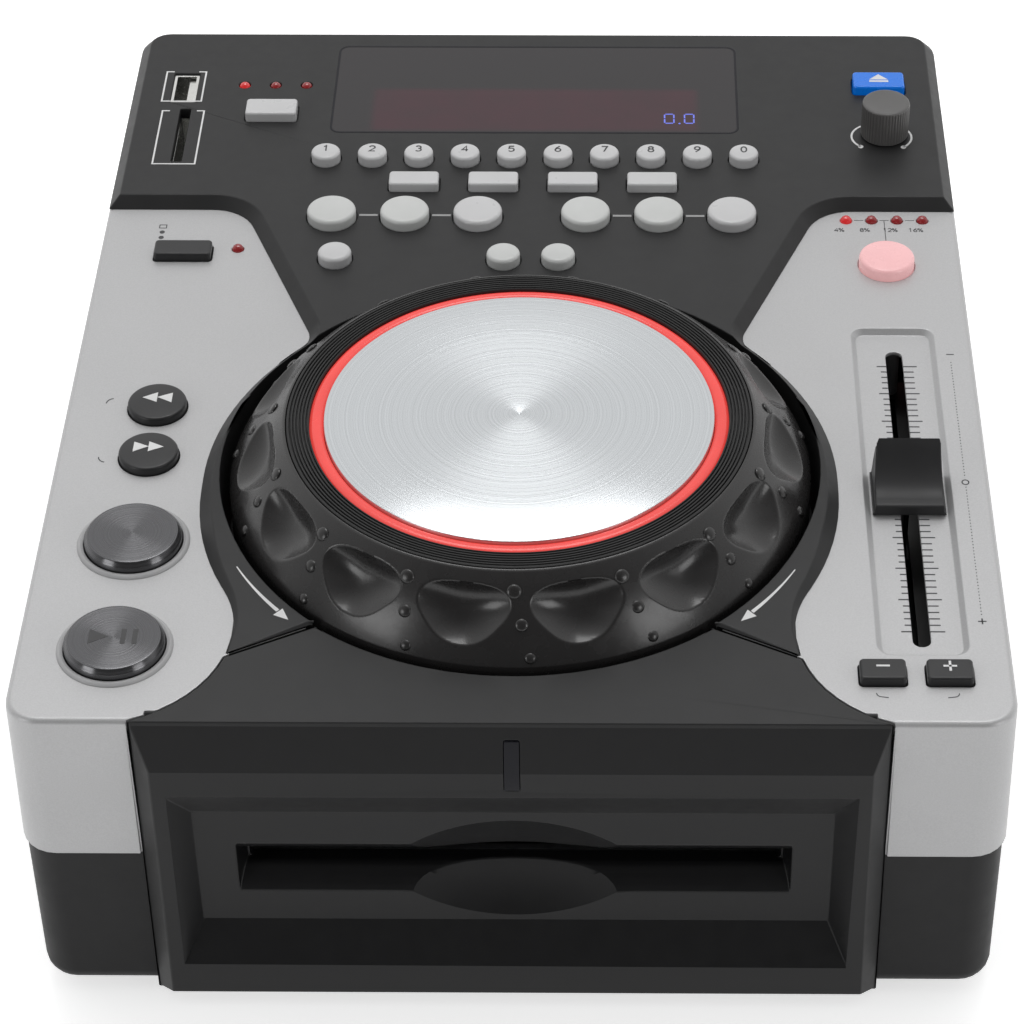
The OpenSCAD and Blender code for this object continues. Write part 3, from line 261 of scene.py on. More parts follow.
def plain_metal(name, colour, rough):
    material, tree, shader = new_finish(name)
    mottled(tree, shader, colour, 0.05, 6)
    wire(tree, shader, {"Metallic": 1.0})
    drifting_gloss(tree, shader, rough, 0.06, 1.2, 3, (1, 6, 1))
    grained(tree, shader, 0.5, 0.003)
    return material


def lit_plastic(name, colour, glow, strength, rough=0.28):
    """Translucent plastic with a lamp behind it, brighter where the lamp sits nearer."""
    material, tree, shader = new_finish(name)
    mottled(tree, shader, colour, 0.02, 4)
    drifting_gloss(tree, shader, rough, 0.04, 2.5, 2)
    grained(tree, shader, 0.8, 0.002)
    wire(tree, shader, {
        "Emission Color": glow + (1,),
        "Emission Strength": spread(tree, noise(tree, 14, 2), strength * 0.93, strength * 1.07),
        "Coat Weight": 0.15, "Coat Roughness": 0.1})
    return material


def near(tree, centre_mm, z_mm, reach_mm):
    """1 within reach of a point, else 0."""
    apart = add(tree, "ShaderNodeVectorMath", {0: object_point(tree), 1: at(*centre_mm, z_mm)},
                operation="DISTANCE")
    return math_node(tree, "LESS_THAN", apart.outputs["Value"], reach_mm * MM)


def lamp_lens():
    """Clear red caps; two of them are lit."""
    material, tree, shader = new_finish("red_lamp_lens")
    mottled(tree, shader, (0.22, 0.012, 0.015), 0.15, 1.2)
    reach = 2.4
    lit = math_node(tree, "MAXIMUM", near(tree, STATUS_LAMP, Z_PANEL, reach),
                    near(tree, RANGE_LAMPS[0], Z_COVER, reach))
    wire(tree, shader, {
        "Roughness": 0.12, "Coat Weight": 0.6, "Emission Color": (1.0, 0.03, 0.03, 1),
        "Emission Strength": math_node(tree, "ADD", math_node(tree, "MULTIPLY", lit, 0.35), 0.06)})
    grained(tree, shader, 0.8, 0.003)
    return material


def smoked_window(glow_low, glow_high):
    """Smoked acrylic, with the faint red-violet field of the unlit display behind its front part."""
    material, tree, shader = new_finish("smoked_window")
    place = object_axes(tree)
    field = spread(tree, noise(tree, 9, 3), 0.75, 1)
    for axis, low, high in (("X", glow_low.x, glow_high.x), ("Y", glow_low.y, glow_high.y)):
        for edge, soft in ((low, 1.5 * MM), (high, -1.5 * MM)):
            side = spread(tree, place[axis], 0, 1, edge - soft, edge + soft,
                          interpolation_type="SMOOTHSTEP")
            field = math_node(tree, "MULTIPLY", field, side)
    base_colour(tree, shader, (0.020, 0.017, 0.019), (0.050, 0.014, 0.022), field)
    drifting_gloss(tree, shader, 0.13, 0.03, 7, 3)
    wire(tree, shader, {"IOR": 1.49, "Specular IOR Level": 0.38})
    grained(tree, shader, 30, 0.004)
    return material


def circuit_board():
    material, tree, shader = new_finish("circuit_board")
    mottled(tree, shader, (0.02, 0.16, 0.06), 0.25, 5)
    drifting_gloss(tree, shader, 0.4, 0.1, 2, 3)
    grained(tree, shader, 0.6, 0.01)
    return material


def bezel_plastic():
    """Satin black plastic, darker over the bezel's front than over its apron."""
    material, tree, shader = new_finish("black_bezel_plastic")
    apron = mottled(tree, shader, (0.026, 0.026, 0.0265), 0.06, 9)
    front = math_node(tree, "LESS_THAN", object_axes(tree)["Z"], (Z_COVER - 1.0) * MM)
    base_colour(tree, shader, apron, (0.005, 0.005, 0.0055), front)
    drifting_gloss(tree, shader, 0.35, 0.03, 3.5, 4)
    wire(tree, shader, {"Specular IOR Level": 0.26})
    grained(tree, shader, 0.35, 0.006)
    return material


SILVER = silver_paint()
PANEL = moulded_plastic("black_panel_plastic", (0.024, 0.024, 0.0245), 0.42, level=0.26)
BEZEL = bezel_plastic()
TRIM = moulded_plastic("grey_trim_plastic", (0.40, 0.40, 0.405), 0.45)
TRAY = moulded_plastic("black_tray_plastic", (0.020, 0.020, 0.0205), 0.50, 0.5, 0.012, level=0.18)
JOG_BODY = moulded_plastic("jog_wheel_plastic", (0.018, 0.017, 0.017), 0.27, 0.25, 0.010, 0.08, 0.2)
RUBBER = moulded_plastic("soft_black_rubber", (0.014, 0.014, 0.014), 0.60, 0.3, 0.010, level=0.4)
KNOB = moulded_plastic("knob_plastic", (0.105, 0.103, 0.101), 0.42, 0.3, 0.006)
KEY_SILVER = moulded_plastic("silver_key_plastic", (0.57, 0.57, 0.575), 0.30, 0.4, 0.003, 0.02, 0.2)
KEY_WHITE = moulded_plastic("white_key_plastic", (0.57, 0.58, 0.57), 0.34, 0.8, 0.003, 0.03, 0.1)
KEY_BLUE = lit_plastic("blue_key_plastic", (0.0, 0.14, 0.62), (0.0, 0.24, 1.0), 0.16)
KEY_PINK = lit_plastic("pink_key_plastic", (0.58, 0.33, 0.34), (1.0, 0.55, 0.55), 0.37)
KEY_BLACK = moulded_plastic("black_key_plastic", (0.024, 0.024, 0.025), 0.34, 0.3, 0.006, level=0.4)
FADER = moulded_plastic("fader_cap_plastic", (0.034, 0.034, 0.035), 0.34, 0.3, 0.005, level=0.2)
GLOW = lit_plastic("red_light_ring", (0.40, 0.02, 0.018), (1.0, 0.085, 0.07), 0.52, 0.25)
PIPE = moulded_plastic("dark_light_pipe", (0.006, 0.006, 0.010), 0.16, 0.8, 0.002, 0.1, level=0.2)
SOCKET = moulded_plastic("socket_plastic", (0.012, 0.012, 0.012), 0.45)
STEEL = plain_metal("rolled_steel", (0.50, 0.51, 0.52), 0.34)
PLATED = plain_metal("plated_shell", (0.66, 0.66, 0.64), 0.22)
SCREW = plain_metal("black_screw_steel", (0.10, 0.10, 0.105), 0.38)
BOARD = circuit_board()
LENS = lamp_lens()
PRINT_WHITE = moulded_plastic("white_print", (0.72, 0.72, 0.72), 0.5, 0.25, 0.002)
PRINT_GREY = moulded_plastic("grey_print", (0.34, 0.34, 0.34), 0.5, 0.25, 0.002)
PRINT_DARK = moulded_plastic("dark_print", (0.045, 0.045, 0.048), 0.5, 0.25, 0.002)
DIGIT_GLOW = lit_plastic("display_digit", (0.08, 0.09, 0.35), (0.16, 0.22, 1.0), 0.55)
DISC_METAL = turned_metal("spun_aluminium", JOG_CENTRE, (0.585, 0.605, 0.62), 0.28, 0.78, 0.45, 0.0012)


# ---------------------------------------------------------------- mesh helpers

def new_piece(name, mesh, *materials):
    piece = bpy.data.objects.new(name, mesh)
    bpy.context.scene.collection.objects.link(piece)
    for material in materials:
        mesh.materials.append(material)
    return piece


def new_mesh(name, points, faces):
    mesh = bpy.data.meshes.new(name)
    mesh.from_pydata(points, [], faces)
    return mesh


def face_outwards(mesh, merge=0.0):
    """Turns the mesh's faces outwards, after merging points within the given metres of each other."""
    bm = bmesh.new()
    bm.from_mesh(mesh)
    if merge:
        bmesh.ops.remove_doubles(bm, verts=bm.verts, dist=merge)
    bmesh.ops.recalc_face_normals(bm, faces=bm.faces)
    bm.to_mesh(mesh)
    bm.free()


def smooth_by_angle(mesh, degrees):
    mesh.polygons.foreach_set("use_smooth", [True] * len(mesh.polygons))
    mesh.set_sharp_from_angle(angle=math.radians(degrees))


def settle(piece):
    """Puts the mesh that the piece's modifiers make in place of its own."""
    bpy.context.view_layer.update()
    graph = bpy.context.evaluated_depsgraph_get()
    mesh = bpy.data.meshes.new_from_object(piece.evaluated_get(graph))
    piece.modifiers.clear()
    old = piece.data
    piece.data = mesh
    bpy.data.meshes.remove(old)


def body_of(node):
    return frame["nodes"][node]["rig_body"]


def top_of(node):
    """Middle and height of a CAD node's top, in millimetres of the case's frame."""
    low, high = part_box(node)
    return (low.x + high.x) / 2 / MM, (low.y + high.y) / 2 / MM - FRONT_TO_MIDDLE, high.z / MM


def flat_faced_copy(node, cut=False):
    """A CAD node's loose triangles merged into flat faces; cut splits the faces that run round a hole."""
    source = frame["nodes"][node].data
    bm = bmesh.new()
    bm.from_mesh(source)
    bmesh.ops.remove_doubles(bm, verts=bm.verts, dist=3e-6)
    bmesh.ops.dissolve_limit(bm, angle_limit=math.radians(0.8), verts=bm.verts, edges=bm.edges)
    if cut:
        large = [f for f in bm.faces if len(f.verts) > 4]
        bmesh.ops.triangulate(bm, faces=large, ngon_method="BEAUTY")
    points = [v.co.copy() for v in bm.verts]
    bm.verts.index_update()
    faces = [[v.index for v in f.verts] for f in bm.faces]
    bm.free()
    return new_mesh(node + "_skin", points, faces)


def softened(node, material, edge_mm=0.25, segments=2, crease=40, cut=False):
    """Stands for a CAD node, with its sharp edges rounded; bends steeper than crease degrees stay sharp."""
    piece = new_piece(node + "_skin", flat_faced_copy(node, cut), material)
    bevel = piece.modifiers.new("edge", "BEVEL")
    bevel.width = edge_mm * MM
    bevel.segments = segments
    bevel.limit_method = "ANGLE"
    bevel.angle_limit = math.radians(32)
    bevel.use_clamp_overlap = False
    bevel.miter_outer = "MITER_ARC"
    settle(piece)
    smooth_by_angle(piece.data, crease)
    flat = piece.modifiers.new("flat_faces", "WEIGHTED_NORMAL")
    flat.keep_sharp = True
    settle(piece)
    body = body_of(node)
    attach(piece, body)
    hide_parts(node)


def lathe(name, profile, centre, material, turns, closed=True):
    """A ring or disc turned about an upright axis; profile lists (radius, height) in millimetres."""
    rings = len(profile)
    angles = np.linspace(0, 2 * math.pi, turns, endpoint=False)
    points = []
    for r, z in profile:
        points += [at(centre[0] + r * math.cos(a), centre[1] + r * math.sin(a), z) for a in angles]
    faces = []
    for ring in range(rings if closed else rings - 1):
        here, there = ring * turns, (ring + 1) % rings * turns
        for i in range(turns):
            j = (i + 1) % turns
            faces.append((here + i, here + j, there + j, there + i))
    mesh = new_mesh(name, points, faces)
    face_outwards(mesh, merge=1e-6)
    piece = new_piece(name, mesh, material)
    smooth_by_angle(mesh, 30)
    return piece


def oval(cx, cy, rx, ry, start=0, end=360, steps=14):
    full = abs(end - start) == 360
    angles = [math.radians(start + (end - start) * i / steps) for i in range(steps if full else steps + 1)]
    return [(cx + rx * math.cos(a), cy + ry * math.sin(a)) for a in angles]


def arc(centre, radius, start, end, steps):
    return oval(*centre, radius, radius, start, end, steps)


class Print:
    """Thin raised marks of one colour on one face; surface gives its height at (x, y)."""

    def __init__(self, surface):
        self.points = []
        self.faces = []
        self.surface = surface if callable(surface) else (lambda x, y: surface)

    def slab(self, outline):
        """One flat convex mark."""
        if sum(a[0] * b[1] - b[0] * a[1] for a, b in zip(outline, outline[1:] + outline[:1])) < 0:
            outline = outline[::-1]
        first, n = len(self.points), len(outline)
        for lift in (-0.02, PRINT_T):
            self.points += [at(x, y, self.surface(x, y) + lift) for x, y in outline]
        self.faces.append([first + i for i in range(n - 1, -1, -1)])
        self.faces.append([first + n + i for i in range(n)])
        for i in range(n):
            j = (i + 1) % n
            self.faces.append([first + i, first + j, first + n + j, first + n + i])

    def line(self, points, width, end_width=None, closed=False):
        """A stroke along the points, of one width or tapering."""
        end_width = width if end_width is None else end_width
        n = len(points)
        edges = []
        for i, (x, y) in enumerate(points):
            before = points[(i - 1) % n] if closed or i else (x, y)
            after = points[(i + 1) % n] if closed or i < n - 1 else (x, y)
            a = Vector((x - before[0], y - before[1]))
            b = Vector((after[0] - x, after[1] - y))
            a = a.normalized() if a.length else b.normalized()
            b = b.normalized() if b.length else a
            across = Vector((-a.y - b.y, a.x + b.x))
            half = (width + (end_width - width) * i / max(1, n - 1)) / 2
            offset = across * (2 * half / max(across.length_squared, 0.8))
            edges.append(((x + offset.x, y + offset.y), (x - offset.x, y - offset.y)))
        for i in range(n if closed else n - 1):
            left, right = edges[i], edges[(i + 1) % n]
            self.slab([left[0], left[1], right[1], right[0]])

    def triangle(self, x, y, reach, width):
        """A pointer from a base at x to a tip at x + reach, in slices that follow a crowned face."""
        slices = 6
        for i in range(slices):
            a, b = i / slices, (i + 1) / slices
            half_a, half_b = width / 2 * (1 - a), width / 2 * (1 - b)
            self.slab([(x + reach * a, y - half_a), (x + reach * b, y - half_b),
                       (x + reach * b, y + half_b), (x + reach * a, y + half_a)])

    def dot(self, x, y, radius, steps=14):
        self.slab(oval(x, y, radius, radius, steps=steps))

    def arrow_head(self, tip, direction, length, width):
        d = Vector(direction).normalized()
        side = Vector((-d.y, d.x)) * width / 2
        base = Vector(tip) - d * length
        self.slab([tuple(tip), tuple(base + side), tuple(base - side)])

    def digit(self, character, x, y, height, stroke):
        """A numeral or per cent sign centred on (x, y)."""
        k = height / 1.5
        for path, loop in STROKES[character]:
            self.line([(x + (px - 0.5) * k, y + (py - 0.75) * k) for px, py in path], stroke, closed=loop)

    def finish(self, name, material, body):
        piece = new_piece(name, new_mesh(name, self.points, self.faces), material)
        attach(piece, body)


STROKES = {
    "0": [(oval(0.5, 0.75, 0.40, 0.68), True)],
    "1": [([(0.25, 1.15), (0.55, 1.43), (0.55, 0.07)], False)],
    "2": [(oval(0.5, 1.02, 0.40, 0.40, 165, -35) + [(0.10, 0.07), (0.92, 0.07)], False)],
    "3": [(oval(0.47, 1.07, 0.36, 0.35, 150, -90), False), (oval(0.47, 0.42, 0.41, 0.35, 90, -150), False)],
    "4": [([(0.70, 0.07), (0.70, 1.43), (0.08, 0.45), (0.95, 0.45)], False)],
    "5": [([(0.86, 1.43), (0.22, 1.43), (0.16, 0.82)] + oval(0.47, 0.48, 0.41, 0.41, 105, -150), False)],
    "6": [(oval(0.5, 0.47, 0.40, 0.40), True), ([(0.76, 1.43), (0.34, 1.06), (0.12, 0.60)], False)],
    "7": [([(0.08, 1.43), (0.92, 1.43), (0.42, 0.07)], False)],
    "8": [(oval(0.5, 1.08, 0.33, 0.34), True), (oval(0.5, 0.42, 0.40, 0.37), True)],
    "9": [(oval(0.5, 1.03, 0.40, 0.40), True), ([(0.24, 0.07), (0.66, 0.44), (0.88, 0.90)], False)],
    "%": [(oval(0.15, 1.15, 0.2, 0.25, 0, 360, 10), True), (oval(0.95, 0.35, 0.2, 0.25, 0, 360, 10), True),
          ([(0.92, 1.43), (0.18, 0.07)], False)],
}


# ---------------------------------------------------------------- repeated details

def socket_value(modifier, group, values):
    """Sets a node modifier's named inputs by their identifiers."""
    for item in group.interface.items_tree:
        if item.item_type == "SOCKET" and item.in_out == "INPUT" and item.name in values:
            modifier[item.identifier] = values[item.name]


def new_group(name, inputs):
    group = bpy.data.node_groups.new(name, "GeometryNodeTree")
    group.interface.new_socket("Geometry", in_out="INPUT", socket_type="NodeSocketGeometry")
    for label, kind in inputs:
        group.interface.new_socket(label, in_out="INPUT", socket_type=kind)
    group.interface.new_socket("Geometry", in_out="OUTPUT", socket_type="NodeSocketGeometry")
    return group, group.nodes.new("NodeGroupInput"), group.nodes.new("NodeGroupOutput")


def place_on(group, points, shape, scale, sink, given, **inputs):
    """Puts a shape on each point, realises them and gives them the tree's material."""
    place = add(group, "GeometryNodeInstanceOnPoints", {
        "Points": points, "Instance": shape, "Scale": scale, **inputs})
    realise = add(group, "GeometryNodeRealizeInstances", {"Geometry": place.outputs["Instances"]})
    paint = add(group, "GeometryNodeSetMaterial", {
        "Geometry": realise.outputs["Geometry"], "Material": given.outputs["Material"]})
    wire(group, sink, {"Geometry": paint.outputs["Geometry"]})


def grown(name, points, group, values, body, attributes):
    """A piece that a geometry tree grows on a list of points."""
    mesh = new_mesh(name, [tuple(p) for p in points], [])
    for label, (kind, data) in attributes.items():
        layer = mesh.attributes.new(label, kind, "POINT")
        layer.data.foreach_set("vector" if kind == "FLOAT_VECTOR" else "value", np.ravel(data))
    piece = new_piece(name, mesh)
    modifier = piece.modifiers.new("grow", "NODES")
    modifier.node_group = group
    socket_value(modifier, group, values)
    settle(piece)
    smooth_by_angle(piece.data, 40)
    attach(piece, body)


def stud_group():
    """Low round studs, one on each point, that lean with the point's own direction."""
    group, given, sink = new_group("round_studs", [
        ("Height", "NodeSocketFloat"), ("Material", "NodeSocketMaterial")])
    ball = add(group, "GeometryNodeMeshUVSphere", {"Segments": 20, "Rings": 10, "Radius": 1.0})
    lean = add(group, "GeometryNodeInputNamedAttribute", {"Name": "lean"}, data_type="FLOAT_VECTOR")
    size = add(group, "GeometryNodeInputNamedAttribute", {"Name": "size"}, data_type="FLOAT")
    turn = add(group, "FunctionNodeAlignRotationToVector", {"Vector": lean.outputs["Attribute"]}, axis="Z")
    scale = add(group, "ShaderNodeCombineXYZ", {
        "X": size.outputs["Attribute"], "Y": size.outputs["Attribute"], "Z": given.outputs["Height"]})
    place_on(group, given.outputs["Geometry"], ball.outputs["Mesh"], scale.outputs["Vector"], sink, given,
             Rotation=turn.outputs["Rotation"])
    return group


def tick_group():
    """A column of printed ticks; every fifth is longer, outwards."""
    group, given, sink = new_group("scale_ticks", [
        ("Count", "NodeSocketInt"), ("Pitch", "NodeSocketFloat"), ("Length", "NodeSocketFloat"),
        ("Long Length", "NodeSocketFloat"), ("Width", "NodeSocketFloat"),
        ("Thickness", "NodeSocketFloat"), ("Material", "NodeSocketMaterial")])
    step = add(group, "ShaderNodeCombineXYZ", {"Y": given.outputs["Pitch"]})
    line = add(group, "GeometryNodeMeshLine", {
        "Count": given.outputs["Count"], "Offset": step.outputs["Vector"]})
    bar = add(group, "GeometryNodeMeshCube", {"Size": (1, 1, 1)})
    outward = add(group, "GeometryNodeTransform", {
        "Geometry": bar.outputs["Mesh"], "Translation": (0.5, 0, 0)})
    index = add(group, "GeometryNodeInputIndex").outputs["Index"]
    is_long = math_node(group, "LESS_THAN", math_node(group, "MODULO", index, 5), 0.5)
    length = add(group, "ShaderNodeMix", {
        "Factor": is_long, "A": given.outputs["Length"], "B": given.outputs["Long Length"]},
        data_type="FLOAT")
    scale = add(group, "ShaderNodeCombineXYZ", {
        "X": length.outputs["Result"], "Y": given.outputs["Width"], "Z": given.outputs["Thickness"]})
    place_on(group, line.outputs["Mesh"], outward.outputs["Geometry"], scale.outputs["Vector"], sink, given)
    return group


STUDS = stud_group()
TICKS = tick_group()


def ticks(name, direction, reach_mm):
    """One column of ticks beside the fader's slot, reaching to -X or +X."""
    mesh = bpy.data.meshes.new(name)
    piece = new_piece(name, mesh)
    modifier = piece.modifiers.new("grow", "NODES")
    modifier.node_group = TICKS
    socket_value(modifier, TICKS, {
        "Count": FADER_TICKS, "Pitch": FADER_TICK_PITCH * MM, "Long Length": direction * reach_mm * MM,
        "Length": direction * (reach_mm - 0.9) * MM, "Width": 0.38 * MM, "Thickness": 2 * PRINT_T * MM,
        "Material": PRINT_DARK})
    settle(piece)
    start = at(FADER_SLOT_X + direction * FADER_SLOT_HALF_W, FADER_SCALE_Y, Z_COVER - RECESS_DEPTH)
    piece.data.transform(Matrix.Translation(start))
    face_outwards(piece.data)
    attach(piece, "case")


# ---------------------------------------------------------------- jog wheel

JOG_R = 68.8
RIM_R = 54.6
DIMPLES = 15
DIMPLE_PHASE = 259.75
DIMPLE_HALF_W = 10.5
DIMPLE_HALF_H = 7.1
DIMPLE_DEEPEST = 3.4
SKIRT_TOP = np.array([RIM_R + 0.9, Z_JOG - 0.6])
SKIRT_FOOT = np.array([JOG_R, Z_COVER + 0.2])
SKIRT_BULGE = 1.2


def skirt_point(t):
    """A point of the skirt's outer line, from its top at 0 to its foot at 1, and the outward direction."""
    along = SKIRT_FOOT - SKIRT_TOP
    out = np.array([-along[1], along[0]]) / np.linalg.norm(along)
    return SKIRT_TOP + t * along + 4 * t * (1 - t) * SKIRT_BULGE * out, out


def dimple_depth(u, v):
    """Depth of a finger dimple at u across and v down from its centre: a bowl with a three-cornered rim."""
    across, down = u / DIMPLE_HALF_W, (v + 0.85) / DIMPLE_HALF_H
    turn = np.arctan2(down, across)
    reach = np.hypot(across, down) / (1 + 0.085 * np.cos(3 * turn + math.pi / 2))
    inside = np.clip(1 - reach ** 2.2, 0, None)
    rim = np.clip(inside / 0.08, 0, 1)
    return DIMPLE_DEEPEST * inside * rim * rim * (3 - 2 * rim)


def jog_skirt():
    """The wheel's skirt, with its finger dimples sunk into one fine grid."""
    turns, rows = 1260, 58
    ts = np.linspace(0, 1, rows)
    line, outs = (np.array(part) for part in zip(*(skirt_point(t) for t in ts)))
    slope_length = np.linalg.norm(SKIRT_FOOT - SKIRT_TOP)
    angles = np.radians(np.arange(turns) * 360 / turns)
    step = math.radians(360 / DIMPLES)
    off = (angles - math.radians(DIMPLE_PHASE) + step / 2) % step - step / 2
    u = off[None, :] * line[:, :1]
    v = ((ts - 0.47) * slope_length)[:, None] + 0 * u
    sunk = dimple_depth(u, v)
    r_grid = line[:, :1] - outs[:, :1] * sunk
    z_grid = line[:, 1:] - outs[:, 1:] * sunk
    foot, wall = Z_COVER - 10, 3.4
    inner = [(JOG_R, foot), (JOG_R - wall, foot), (JOG_R - wall, Z_COVER - 3.8), (RIM_R - 6, Z_JOG - 7),
             (46, Z_JOG - 7), (46, Z_JOG - 4), (RIM_R, Z_JOG - 4), (RIM_R, Z_JOG - 0.5),
             (RIM_R + 0.15, Z_JOG - 0.25), (RIM_R + 0.45, Z_JOG - 0.25)]
    r_all = np.vstack([r_grid] + [np.full((1, turns), r) for r, _ in inner])
    z_all = np.vstack([z_grid] + [np.full((1, turns), z) for _, z in inner])
    x = JOG_CENTRE[0] + r_all * np.cos(angles)
    y = JOG_CENTRE[1] + FRONT_TO_MIDDLE + r_all * np.sin(angles)
    points = np.stack([x, y, z_all], axis=-1).reshape(-1, 3) * MM
    total = len(r_all)
    row = np.arange(total)[:, None] * turns
    row_2 = (row + turns) % (total * turns)
    i = np.arange(turns)[None, :]
    i_2 = (i + 1) % turns
    quads = np.stack([row + i, row_2 + i, row_2 + i_2, row + i_2], axis=-1).reshape(-1, 4)
    mesh = new_mesh("jog_skirt_shell", points.tolist(), quads.tolist())
    piece = new_piece("jog_skirt_shell", mesh, JOG_BODY)
    smooth_by_angle(mesh, 50)
    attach(piece, "jog")
    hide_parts("jog_skirt")


def jog_studs():
    """Three grip studs in a slanting row between each two dimples."""
    points, leans, sizes = [], [], []
    for k in range(DIMPLES):
        for j in range(3):
            t = 0.2 + 0.35 * j
            (r, z), out = skirt_point(t)
            angle = math.radians(DIMPLE_PHASE + k * 360 / DIMPLES + 12.1 + (j - 1) * 1.5)
            c, s = math.cos(angle), math.sin(angle)
            points.append(at(JOG_CENTRE[0] + r * c, JOG_CENTRE[1] + r * s, z))
            leans.append((out[0] * c, out[0] * s, out[1]))
            sizes.append((1.7 - 0.2 * j) * MM)
    grown("jog_studs", points, STUDS, {"Height": 0.55 * MM, "Material": JOG_BODY}, "jog",
          {"lean": ("FLOAT_VECTOR", leans), "size": ("FLOAT", sizes)})


def grip_ring():
    r0, r1, top, base = 49.1, RIM_R - 0.1, Z_JOG - 0.1, Z_JOG - 4
    profile = [(r0, base), (r1, base), (r1, top - 0.35), (r1 - 0.1, top - 0.1), (r1 - 0.35, top)]
    grooves = 6
    pitch = (r1 - r0 - 0.7) / grooves
    for i in range(grooves):
        outer = r1 - 0.35 - i * pitch
        profile += [(outer - 0.36 * pitch, top), (outer - 0.46 * pitch, top - 0.12),
                    (outer - 0.52 * pitch, top - 0.55), (outer - 0.82 * pitch, top - 0.55),
                    (outer - 0.88 * pitch, top - 0.12), (outer - 0.98 * pitch, top)]
    profile += [(r0 + 0.2, top), (r0, top - 0.25)]
    piece = lathe("jog_grip_ring_skin", profile, JOG_CENTRE, RUBBER, 256)
    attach(piece, "jog")
    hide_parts("jog_grip_ring")


def light_ring():
    r0, r1, top, base = 45.8, 49.1, Z_JOG - 0.4, Z_JOG - 4
    middle, half = (r0 + r1) / 2, (r1 - r0) / 2
    profile = [(r0, base), (r1, base)]
    for i in range(13):
        a = math.pi * i / 12
        profile.append((middle + half * math.cos(a), top - 1.3 + 1.3 * math.sin(a) ** 0.8))
    piece = lathe("jog_light_ring_skin", profile, JOG_CENTRE, GLOW, 256)
    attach(piece, "jog")
    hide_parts("jog_light_ring")


def spun_disc():
    base = Z_JOG - 1.5
    profile = [(0.001, base), (45.7, base), (45.7, Z_JOG - 0.35), (45.6, Z_JOG - 0.12), (45.3, Z_JOG),
               (30, Z_JOG), (15, Z_JOG), (5, Z_JOG), (0.7, Z_JOG), (0.5, Z_JOG - 0.05),
               (0.25, Z_JOG - 0.25), (0.001, Z_JOG - 0.3)]
    piece = lathe("jog_disc_skin", profile, JOG_CENTRE, DISC_METAL, 256, closed=False)
    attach(piece, "jog")
    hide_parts("jog_disc")


# ---------------------------------------------------------------- keys and knob

def round_key(node, shape, foot, material):
    """A turned key cap; shape gives its visible line from the foot to the middle of its top."""
    x, y, top = top_of(node)
    line = shape(foot, top)
    stem_r, stem_foot = 1.6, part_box(node)[0].z / MM
    lip_z = foot - 3.2
    stem = [(0.001, stem_foot), (stem_r, stem_foot), (stem_r, lip_z), (line[0][0], lip_z)]
    piece = lathe(node + "_cap", stem + line, (x, y), material, 96, closed=False)
    body = body_of(node)
    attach(piece, body)
    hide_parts(node)


def domed(radius, edge, crown):
    """Shape of a cap with a rounded shoulder and a slightly crowned top."""
    def line(foot, top):
        side = [(radius, foot), (radius, top - edge - crown)]
        shoulder = [(radius - edge + edge * math.cos(a), top - edge - crown + edge * math.sin(a))
                    for a in (math.radians(d) for d in range(15, 91, 15))]
        flat = radius - edge
        face = [(flat * k, top - crown * k * k) for k in (0.85, 0.65, 0.45, 0.25)]
        return side + shoulder + face + [(0.001, top)]
    return line


def chamfered(radius):
    """Shape of a metal cap with a bright chamfer and a flat turned top."""
    return lambda foot, top: [
        (radius, foot), (radius, top - 1.35), (radius - 0.08, top - 1.2), (radius - 0.75, top - 0.22),
        (radius - 0.85, top - 0.12), (radius - 1.05, top - 0.06), (radius - 1.4, top - 0.05),
        (radius * 0.5, top - 0.01), (0.001, top)]


def number_keys():
    for numeral in "1234567890":
        node = "number_button_" + numeral
        round_key(node, domed(3.85, 0.9, 0.25), Z_PANEL, KEY_SILVER)
        x, y, top = top_of(node)
        mark = Print(top - 0.03)
        mark.digit(numeral, x, y + 0.55, 2.7, 0.42)
        mark.finish("numeral_" + numeral, PRINT_DARK, body_of(node))


def loop_keys():
    for side in "ab":
        for part, material in (("start", KEY_WHITE), ("end", KEY_WHITE), ("again", KEY_SILVER)):
            round_key("loop_" + side + "_" + part + "_button", domed(6.35, 1.1, 0.3), Z_PANEL, material)


def small_keys():
    for name, material in (("tap", KEY_SILVER), ("reverse", KEY_WHITE), ("brake", KEY_WHITE)):
        round_key(name + "_button", domed(4.3, 1.1, 0.3), Z_PANEL, material)
    round_key("pitch_range_button", domed(7.1, 1.0, 0.5), Z_COVER, KEY_PINK)


def search_key(node, direction):
    """A black key with a double arrow that lies on its crowned top."""
    radius, edge, crown = 7.1, 0.7, 0.35
    round_key(node, domed(radius, edge, crown), Z_COVER, KEY_BLACK)
    x, y, top = top_of(node)
    flat = radius - edge
    mark = Print(lambda px, py: top + 0.02 - crown * ((px - x) ** 2 + (py - y) ** 2) / flat ** 2)
    arrow = 3.6
    for shift in (-arrow, 0.0):
        mark.triangle(x + direction * shift, y + 1.0, direction * arrow, 3.8)
    mark.finish(node + "_arrows", PRINT_WHITE, body_of(node))


def start_keys():
    """Cue and play, two large keys of dark turned metal."""
    for node in ("cue_button", "play_button"):
        x, y, _ = top_of(node)
        metal = turned_metal(node + "_dark_metal", (x, y), (0.13, 0.13, 0.135), 0.26, 0.85, 0.4, 0.0015)
        round_key(node, chamfered(11.3), Z_COVER, metal)


def play_sign():
    """A triangle and two bars in a dark finish, near the middle of the play key."""
    x, y, top = top_of("play_button")
    mark = Print(top - 0.01)
    mark.triangle(x - 5.6, y + 0.2, 4.4, 4.8)
    bar_w, low, high = 1.1, y - 2.2, y + 2.6
    for left in (x + 1.6, x + 4.2):
        mark.slab([(left, high), (left, low), (left + bar_w, low), (left + bar_w, high)])
    sunk = moulded_plastic("key_relief", (0.035, 0.035, 0.036), 0.35)
    mark.finish("play_button_relief", sunk, body_of("play_button"))


